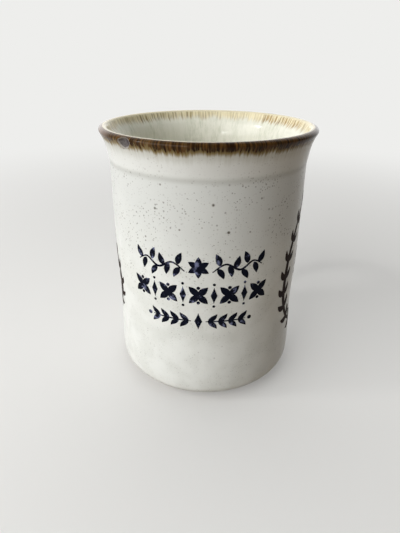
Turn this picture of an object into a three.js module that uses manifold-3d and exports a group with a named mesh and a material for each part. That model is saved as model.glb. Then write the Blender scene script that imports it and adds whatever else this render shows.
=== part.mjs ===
import * as THREE from "three";
import { mergeVertices } from "three/addons/utils/BufferGeometryUtils.js";
import Module from "manifold-3d";

// A half-pint stoneware mug in millimetres, +Z up: a cup with a flared lip on a soft shoulder, a turned
// foot ring and a pulled strap handle. The front of the mug faces -Y and its handle is on +Y.
// Radii and heights of the cup are those of the finished, glazed mug.

// Outside of the cup, from the foot up.
const MUG_HEIGHT = 98;
const FOOT_HEIGHT = 1.0; // from the table to the glaze's lowest edge
const CORNER_WIDTH = 7.2;
const CORNER_HEIGHT = 5.7;
const BELLY_RADIUS = 36.5;
const BELLY_HEIGHT = 13;
const WAIST_RADIUS = 35.7;
const WAIST_HEIGHT = 31;
const MIDDLE_RADIUS = 36.0;
const MIDDLE_HEIGHT = 52;
const NECK_RADIUS = 35.6;

// The shoulder on the neck, and the flare from it up to the lip.
const SHOULDER_BELOW_RIM = 11.2;
const SHOULDER_HEIGHT = 1.4;
const SHOULDER_STEP = 0.25; // how far the neck steps out over the shoulder
const FLARE_RADIUS = 36.5; // where the flare turns outwards
const FLARE_BELOW_RIM = 4.4;
const LIP_RADIUS = 38.4;
const LIP_ROUND_OUTSIDE = 1.9; // width of the lip's rounding, from its crest outwards
const LIP_DROP_OUTSIDE = 1.25; // height of that rounding
const LIP_ROUND_INSIDE = 1.6;
const LIP_DROP_INSIDE = 2.2;
const LIP_UNDERCUT = 0.5; // how far the outer rounding turns under, in radians
const LIP_INNER_LEAN = 0.25; // how far the inner rounding stops short of upright, in radians

// Inside of the cup.
const WALL_THICKNESS = 4.3;
const FLOOR_HEIGHT = 7;
const FLOOR_CORNER_WIDTH = 9;
const FLOOR_CORNER_HEIGHT = 8;

// Foot ring, left bare.
const FOOT_INSET = 0.7; // from the glaze's lowest edge in to the ring
const FOOT_RING_WIDTH = 4.2;
const FOOT_CHAMFER = 0.5;
const FOOT_RECESS = 1.8;
const FOOT_RECESS_SLOPE = 0.8;

// Coats.
const GLAZE_THICKNESS = 0.4;
const BAND_DROP_OUTSIDE = 3.4; // how far the iron band reaches below the rim
const BAND_DROP_INSIDE = 4.6;

// Handle: a strap along an ear-shaped curve.
const HANDLE_REACH = 30.8; // from the wall to the outer face
const HANDLE_TOP_BELOW_RIM = 21; // where the upper arm leaves the wall
const HANDLE_BOTTOM_HEIGHT = 27; // where the lower arm meets it
const HANDLE_RISE = 7; // how far the upper arm's direction climbs
const HANDLE_TUCK = 5; // how far the lower arm's direction drops
const HANDLE_LOWER_FULLNESS = 0.82; // reach of the lower arm's curve as a share of the upper arm's
const HANDLE_WIDTH_TOP = 15.5;
const HANDLE_WIDTH_BOTTOM = 12.5;
const HANDLE_THICKNESS_TOP = 7.6;
const HANDLE_THICKNESS_BOTTOM = 6.4;
const HANDLE_SQUARENESS = 2.5; // 2 is an oval, and more is squarer
const ROOT_SPREAD = 4.5; // how much wider each side is where the handle meets the wall
const ROOT_LENGTH = 14;
const ROOT_INSET = 3; // how far the curve starts inside the wall

// Slip joints.
const SLIP_THICKNESS = 0.6;
const SLIP_BEAD = 0.9; // how far the slip squeezes out round the root
const JOINT_CLEARANCE = 0.3;

// A chip in the lip that bares the clay.
const CHIP_AZIMUTH = -37.5; // in degrees from the front, to the left of it
const CHIP_ABOVE_EDGE = 1.4; // from the iron band's outer edge up to its middle
const CHIP_RADIUS = 4.2; // of the scoop
const CHIP_DEPTH = 1.15;

// How finely round shapes are divided.
const TURNS = 40;
const ARC_STEPS = 5; // along each rounding of the cup's outline
const WALL_STEPS = 7; // along the wall, outside as inside
const FLARE_STEPS = 4;
const HANDLE_STATIONS = 24;
const HANDLE_SIDES = 14;
const CHIP_FACETS = 3;
const WELD = 1e-4;

const CLAY = new THREE.MeshStandardMaterial({ color: 0x9c9286, roughness: 0.85, metalness: 0 });
const SLIP = new THREE.MeshStandardMaterial({ color: 0xa89e92, roughness: 0.85, metalness: 0 });
const WHITE_GLAZE = new THREE.MeshStandardMaterial({ color: 0xe6e5dd, roughness: 0.22, metalness: 0 });
const LINER_GLAZE = new THREE.MeshStandardMaterial({ color: 0xd8d9c8, roughness: 0.15, metalness: 0 });
const IRON_BAND = new THREE.MeshStandardMaterial({ color: 0x5a3b20, roughness: 0.25, metalness: 0 });

const wasm = await Module();
wasm.setup();

// A closed geometry as a solid that can be joined and cut.
function solidOf(geometry) {
  const bare = geometry.clone();
  bare.deleteAttribute("normal");
  bare.deleteAttribute("uv");
  const merged = mergeVertices(bare, WELD);
  return new wasm.Manifold(
    new wasm.Mesh({
      numProp: 3,
      vertProperties: merged.attributes.position.array,
      triVerts: new Uint32Array(merged.index.array),
    }),
  );
}

// A solid as a geometry with flat facets.
function geometryOf(solid) {
  const { vertProperties, triVerts, numProp } = solid.getMesh();
  const positions = [];
  for (const corner of triVerts) {
    positions.push(...vertProperties.subarray(corner * numProp, corner * numProp + 3));
  }
  const geometry = new THREE.BufferGeometry();
  geometry.setAttribute("position", new THREE.Float32BufferAttribute(positions, 3));
  geometry.computeVertexNormals();
  return geometry;
}

// A profile of radius and height, turned about the Z axis.
function turned(profile) {
  return new THREE.LatheGeometry(profile, TURNS).rotateX(Math.PI / 2);
}

function point(radius, height) {
  return new THREE.Vector2(radius, height);
}

// Points along an arc of an ellipse, in radians from the outward direction.
function arc(radius, height, width, rise, from, to, steps) {
  return new THREE.EllipseCurve(radius, height, width, rise, from, to, to < from).getPoints(steps);
}

// Points along a smooth line through the given ones.
function smooth(through, steps) {
  return new THREE.SplineCurve(through).getPoints(steps);
}

// Joins runs of points, leaving out each point that repeats the one before it.
function chain(...runs) {
  return runs.flat().filter((p, i, all) => i === 0 || p.distanceTo(all[i - 1]) > WELD);
}

// Adds the point where the outline crosses a height, and gives the outline and the point's place in it.
function withPointAt(outline, height, rising) {
  const i = outline.findIndex((p, k) => {
    const next = outline[k + 1];
    return next && (rising ? p.y <= height && next.y > height : p.y >= height && next.y < height);
  });
  const share = (height - outline[i].y) / (outline[i + 1].y - outline[i].y);
  const added = outline[i].clone().lerp(outline[i + 1], share);
  const clear = [outline[i], outline[i + 1]].findIndex((p) => p.distanceTo(added) < WELD);
  if (clear >= 0) return { outline, index: i + clear };
  return { outline: [...outline.slice(0, i + 1), added, ...outline.slice(i + 1)], index: i + 1 };
}

// The outline moved outwards, off the cup, by a distance: inwards where it is negative.
function offset(outline, distance) {
  return outline.map((p, i) => {
    const before = outline[Math.max(i - 1, 0)];
    const after = outline[Math.min(i + 1, outline.length - 1)];
    const along = after.clone().sub(before).normalize();
    if (i === 0) along.set(1, 0);
    if (i === outline.length - 1) along.set(-1, 0);
    return point(p.x + along.y * distance, p.y - along.x * distance);
  });
}

// The glazed outline: from the glaze's lowest edge up the outside, over the lip and down to the floor.
function glazedOutline() {
  const crestRadius = LIP_RADIUS - LIP_ROUND_OUTSIDE;
  const shoulderMiddle = MUG_HEIGHT - SHOULDER_BELOW_RIM;
  const shoulderBottom = shoulderMiddle - SHOULDER_HEIGHT / 2;
  const shoulderTop = shoulderMiddle + SHOULDER_HEIGHT / 2;
  const corner = arc(
    BELLY_RADIUS - CORNER_WIDTH,
    FOOT_HEIGHT + CORNER_HEIGHT,
    CORNER_WIDTH,
    CORNER_HEIGHT,
    -Math.PI / 2,
    0,
    ARC_STEPS,
  );
  const wall = smooth(
    [
      corner.at(-1),
      point(BELLY_RADIUS, BELLY_HEIGHT),
      point(WAIST_RADIUS, WAIST_HEIGHT),
      point(MIDDLE_RADIUS, MIDDLE_HEIGHT),
      point(NECK_RADIUS, shoulderBottom),
    ],
    WALL_STEPS,
  );
  const lipOutside = arc(
    crestRadius,
    MUG_HEIGHT - LIP_DROP_OUTSIDE,
    LIP_ROUND_OUTSIDE,
    LIP_DROP_OUTSIDE,
    -LIP_UNDERCUT,
    Math.PI / 2,
    ARC_STEPS,
  );
  const flare = new THREE.QuadraticBezierCurve(
    point(NECK_RADIUS + SHOULDER_STEP, shoulderTop),
    point(FLARE_RADIUS, MUG_HEIGHT - FLARE_BELOW_RIM),
    lipOutside[0],
  ).getPoints(FLARE_STEPS);
  const lipInside = arc(
    crestRadius,
    MUG_HEIGHT - LIP_DROP_INSIDE,
    LIP_ROUND_INSIDE,
    LIP_DROP_INSIDE,
    Math.PI / 2,
    Math.PI - LIP_INNER_LEAN,
    ARC_STEPS,
  );
  const floorCorner = arc(
    WAIST_RADIUS - WALL_THICKNESS - FLOOR_CORNER_WIDTH,
    FLOOR_HEIGHT + FLOOR_CORNER_HEIGHT,
    FLOOR_CORNER_WIDTH,
    FLOOR_CORNER_HEIGHT,
    0,
    -Math.PI / 2,
    ARC_STEPS,
  );
  const innerWall = smooth(
    [
      lipInside.at(-1),
      point(NECK_RADIUS - WALL_THICKNESS, shoulderMiddle),
      point(MIDDLE_RADIUS - WALL_THICKNESS, MIDDLE_HEIGHT),
      point(WAIST_RADIUS - WALL_THICKNESS, WAIST_HEIGHT),
      floorCorner[0],
    ],
    WALL_STEPS,
  );
  const centre = point(0, FLOOR_HEIGHT);
  return chain(corner, wall, flare, lipOutside, lipInside, innerWall, floorCorner, [centre]);
}

// The underside, from its middle over the bare foot ring to the clay's first point under the glaze.
function undersideOutline() {
  const outer = BELLY_RADIUS - CORNER_WIDTH - FOOT_INSET;
  const inner = outer - FOOT_RING_WIDTH;
  return [
    point(0, FOOT_RECESS),
    point(inner - FOOT_RECESS_SLOPE, FOOT_RECESS),
    point(inner, FOOT_CHAMFER),
    point(inner + FOOT_CHAMFER, 0),
    point(outer - FOOT_CHAMFER, 0),
    point(outer, FOOT_CHAMFER),
    point(outer, FOOT_HEIGHT + GLAZE_THICKNESS),
  ];
}

// The coat between the glazed outline and the clay, over one stretch of the outline.
function coat(glazed, clay, from, to) {
  const surface = glazed.slice(from, to + 1);
  const backing = clay.slice(from, to + 1).reverse();
  const onAxis = surface.at(-1).x === 0;
  return turned(onAxis ? [...backing, ...surface] : [...surface, ...backing, surface[0]]);
}

// The whole space within the cup's outside, with the clay's outer face moved out by a distance.
function filledCup(clay, crest, distance) {
  const side = offset(clay, distance).slice(0, crest + 1);
  return solidOf(turned([point(0, side[0].y), ...side, point(0, side.at(-1).y)]));
}

// The radius of the outside at a height.
function radiusAt(outside, height) {
  const { outline, index } = withPointAt(outside, height, true);
  return outline[index].x;
}

// The handle's centre line in the plane x = 0, from inside the wall at the top to inside it at the foot.
function handleCurve(outside) {
  const topHeight = MUG_HEIGHT - HANDLE_TOP_BELOW_RIM;
  const topWall = radiusAt(outside, topHeight);
  const bottomWall = radiusAt(outside, HANDLE_BOTTOM_HEIGHT);
  const start = new THREE.Vector3(0, topWall - ROOT_INSET, topHeight);
  const end = new THREE.Vector3(0, bottomWall - ROOT_INSET, HANDLE_BOTTOM_HEIGHT);
  const pulled = (pull) =>
    new THREE.CubicBezierCurve3(
      start,
      start.clone().add(new THREE.Vector3(0, pull, HANDLE_RISE)),
      end.clone().add(new THREE.Vector3(0, pull * HANDLE_LOWER_FULLNESS, -HANDLE_TUCK)),
      end,
    );
  const farthest = (pull) => Math.max(...pulled(pull).getPoints(HANDLE_STATIONS).map((p) => p.y));
  const halfThickness = (HANDLE_THICKNESS_TOP + HANDLE_THICKNESS_BOTTOM) / 4;
  const wanted = topWall + HANDLE_REACH - halfThickness - GLAZE_THICKNESS;
  // The curve stands out evenly further as it is pulled, so two trials give the pull.
  const [near, far] = [farthest(HANDLE_REACH), farthest(2 * HANDLE_REACH)];
  return pulled(HANDLE_REACH + (HANDLE_REACH * (wanted - near)) / (far - near));
}

// A closed strap round the curve, its faces moved out by a distance.
function strap(curve, distance) {
  const length = curve.getLength();
  const across = new THREE.Vector3(1, 0, 0);
  const corners = [];
  const faces = [];
  for (let i = 0; i <= HANDLE_STATIONS; i++) {
    const along = i / HANDLE_STATIONS;
    const centre = curve.getPointAt(along);
    const outward = new THREE.Vector3().crossVectors(across, curve.getTangentAt(along)).normalize();
    const fromRoot = Math.min(along, 1 - along) * length;
    const spread = ROOT_SPREAD * Math.max(0, 1 - fromRoot / ROOT_LENGTH) ** 2 + distance;
    const width = THREE.MathUtils.lerp(HANDLE_WIDTH_TOP, HANDLE_WIDTH_BOTTOM, along);
    const thickness = THREE.MathUtils.lerp(HANDLE_THICKNESS_TOP, HANDLE_THICKNESS_BOTTOM, along);
    for (let k = 0; k < HANDLE_SIDES; k++) {
      const angle = (2 * Math.PI * k) / HANDLE_SIDES;
      const x = (width / 2 + spread) * rounded(Math.cos(angle));
      const y = (thickness / 2 + spread) * rounded(Math.sin(angle));
      corners.push(centre.clone().addScaledVector(across, x).addScaledVector(outward, y));
    }
  }
  const ring = (i, k) => i * HANDLE_SIDES + (k % HANDLE_SIDES);
  for (let i = 0; i < HANDLE_STATIONS; i++) {
    for (let k = 0; k < HANDLE_SIDES; k++) {
      faces.push(ring(i, k), ring(i + 1, k + 1), ring(i, k + 1));
      faces.push(ring(i, k), ring(i + 1, k), ring(i + 1, k + 1));
    }
  }
  for (let k = 1; k < HANDLE_SIDES - 1; k++) {
    faces.push(ring(0, 0), ring(0, k), ring(0, k + 1));
    faces.push(ring(HANDLE_STATIONS, 0), ring(HANDLE_STATIONS, k + 1), ring(HANDLE_STATIONS, k));
  }
  const geometry = new THREE.BufferGeometry().setFromPoints(corners);
  geometry.setIndex(faces);
  return solidOf(geometry);
}

// A sine or cosine drawn towards its ends, which squares an oval.
function rounded(value) {
  return Math.sign(value) * Math.abs(value) ** (2 / HANDLE_SQUARENESS);
}

// The scoop of the chip: a ball that bites square into the outside of the lip.
function chipScoop(outside) {
  const height = MUG_HEIGHT - BAND_DROP_OUTSIDE + CHIP_ABOVE_EDGE;
  const { outline, index } = withPointAt(outside, height, true);
  const centre = offset(outline, CHIP_RADIUS - CHIP_DEPTH)[index];
  const turn = THREE.MathUtils.degToRad(CHIP_AZIMUTH);
  const ball = new THREE.IcosahedronGeometry(CHIP_RADIUS, CHIP_FACETS);
  return solidOf(ball.translate(centre.x * Math.sin(turn), -centre.x * Math.cos(turn), centre.y));
}

function piece(name, geometry, material) {
  const mesh = new THREE.Mesh(geometry, material);
  mesh.name = name;
  return mesh;
}

// The outline with the two ends of the iron band marked in it.
const lowered = withPointAt(glazedOutline(), MUG_HEIGHT - BAND_DROP_OUTSIDE, true);
const bandStart = lowered.index;
const banded = withPointAt(lowered.outline, MUG_HEIGHT - BAND_DROP_INSIDE, false);
const bandEnd = banded.index;
const glazed = banded.outline;
const clay = offset(glazed, -GLAZE_THICKNESS);
const crest = glazed.reduce((top, p, i) => (p.y > glazed[top].y ? i : top), 0);
const outside = glazed.slice(0, crest + 1);

// Heights of the joint's layers over the clay wall.
const slipInner = JOINT_CLEARANCE;
const slipOuter = slipInner + SLIP_THICKNESS;
const handleFace = slipOuter + JOINT_CLEARANCE;

const curve = handleCurve(outside);
const scoop = chipScoop(outside);
const beforeHandle = filledCup(clay, crest, handleFace);
const slipLayer = filledCup(clay, crest, slipOuter).subtract(filledCup(clay, crest, slipInner));
const pads = strap(curve, SLIP_BEAD).intersect(slipLayer).decompose();
pads.sort((a, b) => b.boundingBox().max[2] - a.boundingBox().max[2]);
const bareHandle = strap(curve, 0);

const body = solidOf(turned([...undersideOutline(), ...clay])).subtract(scoop);
const outerCoat = solidOf(coat(glazed, clay, 0, bandStart))
  .subtract(strap(curve, SLIP_BEAD + JOINT_CLEARANCE))
  .subtract(scoop);
const rimCoat = solidOf(coat(glazed, clay, bandStart, bandEnd)).subtract(scoop);
const handleCoat = strap(curve, GLAZE_THICKNESS).subtract(bareHandle).subtract(beforeHandle);

const mug = new THREE.Group();
mug.add(
  piece("body", geometryOf(body), CLAY),
  piece("handle", geometryOf(bareHandle.subtract(beforeHandle)), CLAY),
  piece("slip_joint_upper", geometryOf(pads[0]), SLIP),
  piece("slip_joint_lower", geometryOf(pads[1]), SLIP),
  piece("glaze_liner", coat(glazed, clay, bandEnd, glazed.length - 1), LINER_GLAZE),
  piece("glaze_outer", geometryOf(outerCoat), WHITE_GLAZE),
  piece("glaze_rim_band", geometryOf(rimCoat), IRON_BAND),
  piece("glaze_handle", geometryOf(handleCoat), WHITE_GLAZE),
);

// The origin lies on the table, under the middle of the whole mug with its handle.
const bounds = new THREE.Box3().setFromObject(mug);
mug.position.y = -(bounds.min.y + bounds.max.y) / 2;

const group = new THREE.Group();
group.add(mug);

export default group;
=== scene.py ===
"""Looks of a half-pint stoneware mug: fired glazes, bare clay, printed ornament, camera and studio.

Pieces are shaped in millimetres round the cup's own axis and become metres where a mesh is made.
Azimuth 0 is the mug's front, which faces -Y, and 90 degrees is its right side, +X.
"""

import logging
import math
from collections.abc import Callable, Iterable, Sequence
from dataclasses import dataclass
from enum import Enum
from functools import partial

import bmesh
import bpy
import numpy as np
from mathutils import Matrix, Vector, noise


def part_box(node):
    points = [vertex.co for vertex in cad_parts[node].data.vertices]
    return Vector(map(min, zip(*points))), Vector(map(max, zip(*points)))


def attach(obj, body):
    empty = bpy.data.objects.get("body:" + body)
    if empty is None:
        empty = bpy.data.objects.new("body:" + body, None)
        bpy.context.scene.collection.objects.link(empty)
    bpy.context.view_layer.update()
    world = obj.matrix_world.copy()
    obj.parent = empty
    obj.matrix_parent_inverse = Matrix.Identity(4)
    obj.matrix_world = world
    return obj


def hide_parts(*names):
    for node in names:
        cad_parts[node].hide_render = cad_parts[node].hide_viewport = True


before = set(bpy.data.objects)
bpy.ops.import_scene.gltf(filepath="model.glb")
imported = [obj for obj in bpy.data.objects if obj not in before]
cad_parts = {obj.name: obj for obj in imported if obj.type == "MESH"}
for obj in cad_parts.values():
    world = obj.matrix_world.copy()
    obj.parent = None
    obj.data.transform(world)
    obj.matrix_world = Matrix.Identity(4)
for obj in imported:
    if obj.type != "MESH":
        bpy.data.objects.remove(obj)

MM = 0.001
LOG = logging.getLogger("mug")

# Edges that turn by more degrees than this stay sharp.
SHARP_TURN = 40.0

Socket = bpy.types.NodeSocket
Value = float | Sequence[float] | Socket
Adder = Callable[..., Socket | None]
Faces = list[tuple[int, ...]]


class Slot(Enum):
    """The record's material slots."""

    CLAY = "bare_clay"
    LINER = "liner_glaze"
    OUTER = "outer_glaze"
    IRON = "iron_glaze"


class Coat(Enum):
    """The glaze coats of the cup, each with the CAD node that it stands for."""

    WALL = "glaze_outer"
    LIP = "glaze_rim_band"
    LINER = "glaze_liner"


def linear(code: str) -> tuple[float, float, float, float]:
    """Turns an sRGB hex colour to linear light.

    Args:
        code: six hex digits.

    Returns:
        Red, green, blue and an alpha of 1.
    """
    parts = [int(code[i : i + 2], 16) / 255 for i in (0, 2, 4)]
    return (*(c / 12.92 if c <= 0.04045 else ((c + 0.055) / 1.055) ** 2.4 for c in parts), 1.0)


class Kind(Enum):
    """The shader nodes that the finishes are made of."""

    PLACE = "ShaderNodeTexCoord"
    SPLIT = "ShaderNodeSeparateXYZ"
    VECTOR = "ShaderNodeVectorMath"
    MATH = "ShaderNodeMath"
    EASE = "ShaderNodeMapRange"
    MIX = "ShaderNodeMix"
    RAMP = "ShaderNodeValToRGB"
    NOISE = "ShaderNodeTexNoise"
    CELLS = "ShaderNodeTexVoronoi"
    CHANNELS = "ShaderNodeSeparateColor"
    BUMP = "ShaderNodeBump"
    SURFACE = "ShaderNodeBsdfPrincipled"
    MATT = "ShaderNodeBsdfDiffuse"
    GLOW = "ShaderNodeEmission"
    SKY = "ShaderNodeBackground"
    BLEND = "ShaderNodeMixShader"
    RAYS = "ShaderNodeLightPath"
    OUTPUT = "ShaderNodeOutputMaterial"
    WORLD = "ShaderNodeOutputWorld"


SMOOTH = {"interpolation_type": "SMOOTHSTEP"}
COLOURS = {"data_type": "RGBA"}


def add_node(
    tree: bpy.types.NodeTree,
    kind: Kind,
    *values: Value | None,
    named: dict[str, Value] | None = None,
    stops: Sequence[tuple[float, str]] = (),
    **settings: str | bool | float,
) -> Socket | None:
    """Adds a node with its settings and links.

    Args:
        tree: the node tree that takes it.
        kind: which node.
        values: a value or another node's socket for each input in turn, or None to leave it alone.
        named: the same for inputs given by name.
        stops: places and hex colours of a colour ramp.
        settings: the node's own settings.

    Returns:
        The node's first output, if it has one.
    """
    node = tree.nodes.new(kind.value)
    for name, value in settings.items():
        setattr(node, name, value)
    in_turn = zip((socket for socket in node.inputs if socket.enabled), values)
    by_name = ((node.inputs[name], value) for name, value in (named or {}).items())
    for socket, value in (*in_turn, *by_name):
        if isinstance(value, Socket):
            tree.links.new(value, socket)
        elif value is not None:
            socket.default_value = value
    for i, (place, code) in enumerate(stops):
        band = node.color_ramp.elements
        stop = band[i] if i < 2 else band.new(place)
        stop.position, stop.color = place, linear(code)
    return next((socket for socket in node.outputs if socket.enabled), None)


def new_material(name: str) -> tuple[bpy.types.Material, bpy.types.NodeTree]:
    """Makes an empty node material.

    Args:
        name: the material's name.

    Returns:
        The material and its node tree.
    """
    material = bpy.data.materials.new(name)
    material.use_nodes = True
    material.node_tree.nodes.clear()
    return material, material.node_tree


@dataclass(frozen=True)
class CupSizes:
    """Sizes of the glazed cup in millimetres."""

    height: float = 98.0
    foot_height: float = 1.0
    corner_width: float = 7.2
    corner_height: float = 5.7
    belly: tuple[float, float] = (36.5, 13.0)
    waist: tuple[float, float] = (35.7, 31.0)
    middle: tuple[float, float] = (36.0, 52.0)
    neck_radius: float = 35.6
    shoulder_below_rim: float = 11.2
    shoulder_height: float = 1.4
    shoulder_step: float = 0.25
    flare_radius: float = 36.5
    flare_below_rim: float = 4.4
    lip_radius: float = 38.4
    lip_outside: tuple[float, float] = (1.9, 1.25)
    lip_inside: tuple[float, float] = (1.6, 2.2)
    lip_undercut: float = 0.5
    lip_inner_lean: float = 0.25
    wall: float = 4.3
    floor_height: float = 7.0
    floor_corner: tuple[float, float] = (9.0, 8.0)
    foot_inset: float = 0.7
    foot_ring_width: float = 4.2
    foot_round: float = 0.5
    foot_recess: float = 1.8
    foot_recess_slope: float = 0.8
    glaze: float = 0.4
    band_drop_outside: float = 3.4
    band_drop_inside: float = 4.6

    @property
    def crest_radius(self) -> float:
        """The radius of the lip's highest line."""
        return self.lip_radius - self.lip_outside[0]


def ellipse_arc(
    centre: tuple[float, float], width: float, rise: float, start: float, end: float, steps: int
) -> np.ndarray:
    """Points along an arc of an ellipse.

    Args:
        centre: radius and height of its centre.
        width: half its width.
        rise: half its height.
        start: the first angle, in radians from the outward direction.
        end: the last angle.
        steps: how many steps the arc has.

    Returns:
        A row of radius and height for each point.
    """
    angle = np.linspace(start, end, steps + 1)
    return np.column_stack((centre[0] + width * np.cos(angle), centre[1] + rise * np.sin(angle)))


def spline_through(points: Sequence[Sequence[float]], steps: int) -> np.ndarray:
    """Points along a smooth line through the given ones.

    Args:
        points: the points to pass through, in order.
        steps: steps between each two of them.

    Returns:
        One row for each point along the line.
    """
    given = np.array(points, float)
    last = len(given) - 1
    share = np.linspace(0, 1, steps, endpoint=False)[:, None]
    spans = []
    for i in range(last):
        a, b = given[i], given[i + 1]
        leave = (b - given[max(i - 1, 0)]) / 2
        arrive = (given[min(i + 2, last)] - a) / 2
        cubic, square = 2 * a - 2 * b + leave + arrive, 3 * b - 3 * a - 2 * leave - arrive
        spans.append(cubic * share**3 + square * share**2 + leave * share + a)
    return np.vstack([*spans, given[-1:]])


def lengths_along(points: np.ndarray) -> np.ndarray:
    """The distance along a line of points, from its start to each of them."""
    return np.concatenate(([0.0], np.cumsum(np.linalg.norm(np.diff(points, axis=0), axis=1))))


def at_lengths(points: np.ndarray, wanted: np.ndarray) -> np.ndarray:
    """Points at the wanted distances along a line of points."""
    along = lengths_along(points)
    return np.column_stack([np.interp(wanted, along, points[:, i]) for i in range(points.shape[1])])


def signed_power(value: float, power: float) -> float:
    """Raises a number to a power and keeps its sign."""
    return math.copysign(abs(value) ** power, value)


def joined(first: np.ndarray, second: np.ndarray) -> Faces:
    """Joins two rings of points.

    Args:
        first: the numbers of one ring's points, in turn.
        second: the same for the ring on its left hand.

    Returns:
        A four-cornered face for each side.
    """
    corners = np.column_stack((first, np.roll(first, -1), np.roll(second, -1), second))
    return [tuple(face) for face in corners.tolist()]


class CupOutline:
    """The turned outline of the glazed cup, from the glaze's lowest edge over the lip to the floor."""

    CORNER_STEPS = 48
    WALL_STEPS = 60
    FLARE_STEPS = 24
    LIP_STEPS = 30
    FLOOR_STEPS = 40
    # Lengths in millimetres.
    LEAST_STEP = 1e-4
    FINE_STEP = 0.1
    SOFTENING = 0.3
    MOST_STEP = 1.15
    MOST_TURN = math.radians(6)
    SEAM_MARGIN = 0.03
    # The back of a coat has every third row.
    COARSE = 3

    def __init__(self, sizes: CupSizes) -> None:
        """Works out the rows of points that every coat shares.

        Args:
            sizes: the cup's sizes.
        """
        self.sizes = sizes
        fine = self._softened(self._drawn())
        along = lengths_along(fine)
        crest = int(np.argmax(fine[:, 1]))
        outer_seam = np.interp(sizes.height - sizes.band_drop_outside, fine[:crest, 1], along[:crest])
        inside = slice(len(fine) - 1, crest, -1)
        inner_seam = np.interp(sizes.height - sizes.band_drop_inside, fine[inside, 1], along[inside])
        rows = self._rows(fine, along, (outer_seam, inner_seam))
        self.points = at_lengths(fine, rows)
        self.normals = self._normals(self.points)
        self.crest = int(np.argmax(self.points[:, 1]))
        self.outer_seam = int(np.argmin(abs(rows - outer_seam)))
        self.inner_seam = int(np.argmin(abs(rows - inner_seam)))
        kept = set(range(0, len(rows), self.COARSE)) | {0, len(rows) - 1, self.crest}
        self.coarse = np.array(sorted(kept | {self.outer_seam, self.inner_seam}))
        self.backing = self.points - self.normals * sizes.glaze
        self.backing[-1, 0] = 0.0

    def _drawn(self) -> np.ndarray:
        """Draws the outline, run by run.

        Returns:
            A row of radius and height for each point.
        """
        s = self.sizes
        crest = s.crest_radius
        shoulder = s.height - s.shoulder_below_rim
        low, high = shoulder - s.shoulder_height / 2, shoulder + s.shoulder_height / 2
        corner_centre = (s.belly[0] - s.corner_width, s.foot_height + s.corner_height)
        corner = ellipse_arc(
            corner_centre, s.corner_width, s.corner_height, -math.pi / 2, 0, self.CORNER_STEPS
        )
        side = [corner[-1], s.belly, s.waist, s.middle, (s.neck_radius, low)]
        wall = spline_through(side, self.WALL_STEPS)
        neck = np.array([wall[-1], (s.neck_radius + s.shoulder_step, high)])
        lip_centre = (crest, s.height - s.lip_outside[1])
        outside = ellipse_arc(lip_centre, *s.lip_outside, -s.lip_undercut, math.pi / 2, self.LIP_STEPS)
        share = np.linspace(0, 1, self.FLARE_STEPS + 1)[:, None]
        turn = np.array((s.flare_radius, s.height - s.flare_below_rim))
        flare = (1 - share) ** 2 * neck[-1] + 2 * share * (1 - share) * turn + share**2 * outside[0]
        lip_centre = (crest, s.height - s.lip_inside[1])
        lip_end = math.pi - s.lip_inner_lean
        inside = ellipse_arc(lip_centre, *s.lip_inside, math.pi / 2, lip_end, self.LIP_STEPS)
        floor_centre = (s.waist[0] - s.wall - s.floor_corner[0], s.floor_height + s.floor_corner[1])
        floor = ellipse_arc(floor_centre, *s.floor_corner, 0, -math.pi / 2, self.FLOOR_STEPS)
        hollow = [
            inside[-1],
            (s.neck_radius - s.wall, shoulder),
            (s.middle[0] - s.wall, s.middle[1]),
            (s.waist[0] - s.wall, s.waist[1]),
            floor[0],
        ]
        runs = [corner, wall, neck, flare, outside, inside, spline_through(hollow, self.WALL_STEPS), floor]
        drawn = np.vstack([*runs, [(0.0, s.floor_height)]])
        apart = np.linalg.norm(np.diff(drawn, axis=0), axis=1) > self.LEAST_STEP
        return drawn[np.concatenate(([True], apart))]

    def _softened(self, drawn: np.ndarray) -> np.ndarray:
        """Eases the outline's corners as a molten coat eases them.

        Args:
            drawn: the outline as drawn.

        Returns:
            The eased outline, in even fine steps.
        """
        total = lengths_along(drawn)[-1]
        even = at_lengths(drawn, np.linspace(0, total, round(total / self.FINE_STEP)))
        reach = round(3 * self.SOFTENING / self.FINE_STEP)
        weight = np.exp(-0.5 * (np.arange(-reach, reach + 1) * self.FINE_STEP / self.SOFTENING) ** 2)
        weight /= weight.sum()
        padded = np.pad(even, ((reach, reach), (0, 0)), mode="reflect", reflect_type="odd")
        return np.column_stack([np.convolve(padded[:, i], weight, mode="valid") for i in range(2)])

    def _rows(self, fine: np.ndarray, along: np.ndarray, seams: Iterable[float]) -> np.ndarray:
        """Chooses where the rows lie: close together on the outline's curves and at the seams.

        Args:
            fine: the eased outline.
            along: how far along it each of its points is.
            seams: how far along it two coats meet.

        Returns:
            How far along it each row lies.
        """
        heading = np.unwrap(np.arctan2(*np.gradient(fine, axis=0).T[::-1]))
        rows, last = [0.0], 0
        for i in range(1, len(fine)):
            if along[i] - rows[-1] >= self.MOST_STEP or abs(heading[i] - heading[last]) >= self.MOST_TURN:
                rows.append(float(along[i]))
                last = i
        rows[-1] = float(along[-1])
        marks = [seam + offset for seam in seams for offset in (-self.SEAM_MARGIN, 0.0, self.SEAM_MARGIN)]
        clear = [row for row in rows if min(abs(row - mark) for mark in marks) > 2 * self.SEAM_MARGIN]
        return np.array(sorted([*clear, *marks]))

    @staticmethod
    def _normals(points: np.ndarray) -> np.ndarray:
        """Works out which way is out of the glaze.

        Args:
            points: the point of each row.

        Returns:
            The outward direction at each of them, square to the outline.
        """
        slope = np.gradient(points, axis=0)
        slope[0], slope[-1] = (1, 0), (-1, 0)
        slope /= np.linalg.norm(slope, axis=1)[:, None]
        return np.column_stack((slope[:, 1], -slope[:, 0]))

    def wall_radius(self, height: np.ndarray | float) -> np.ndarray | float:
        """The radius of the glazed outside at a height below the flare."""
        side = self.points[: self.crest]
        return np.interp(height, side[:, 1], side[:, 0])


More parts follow.
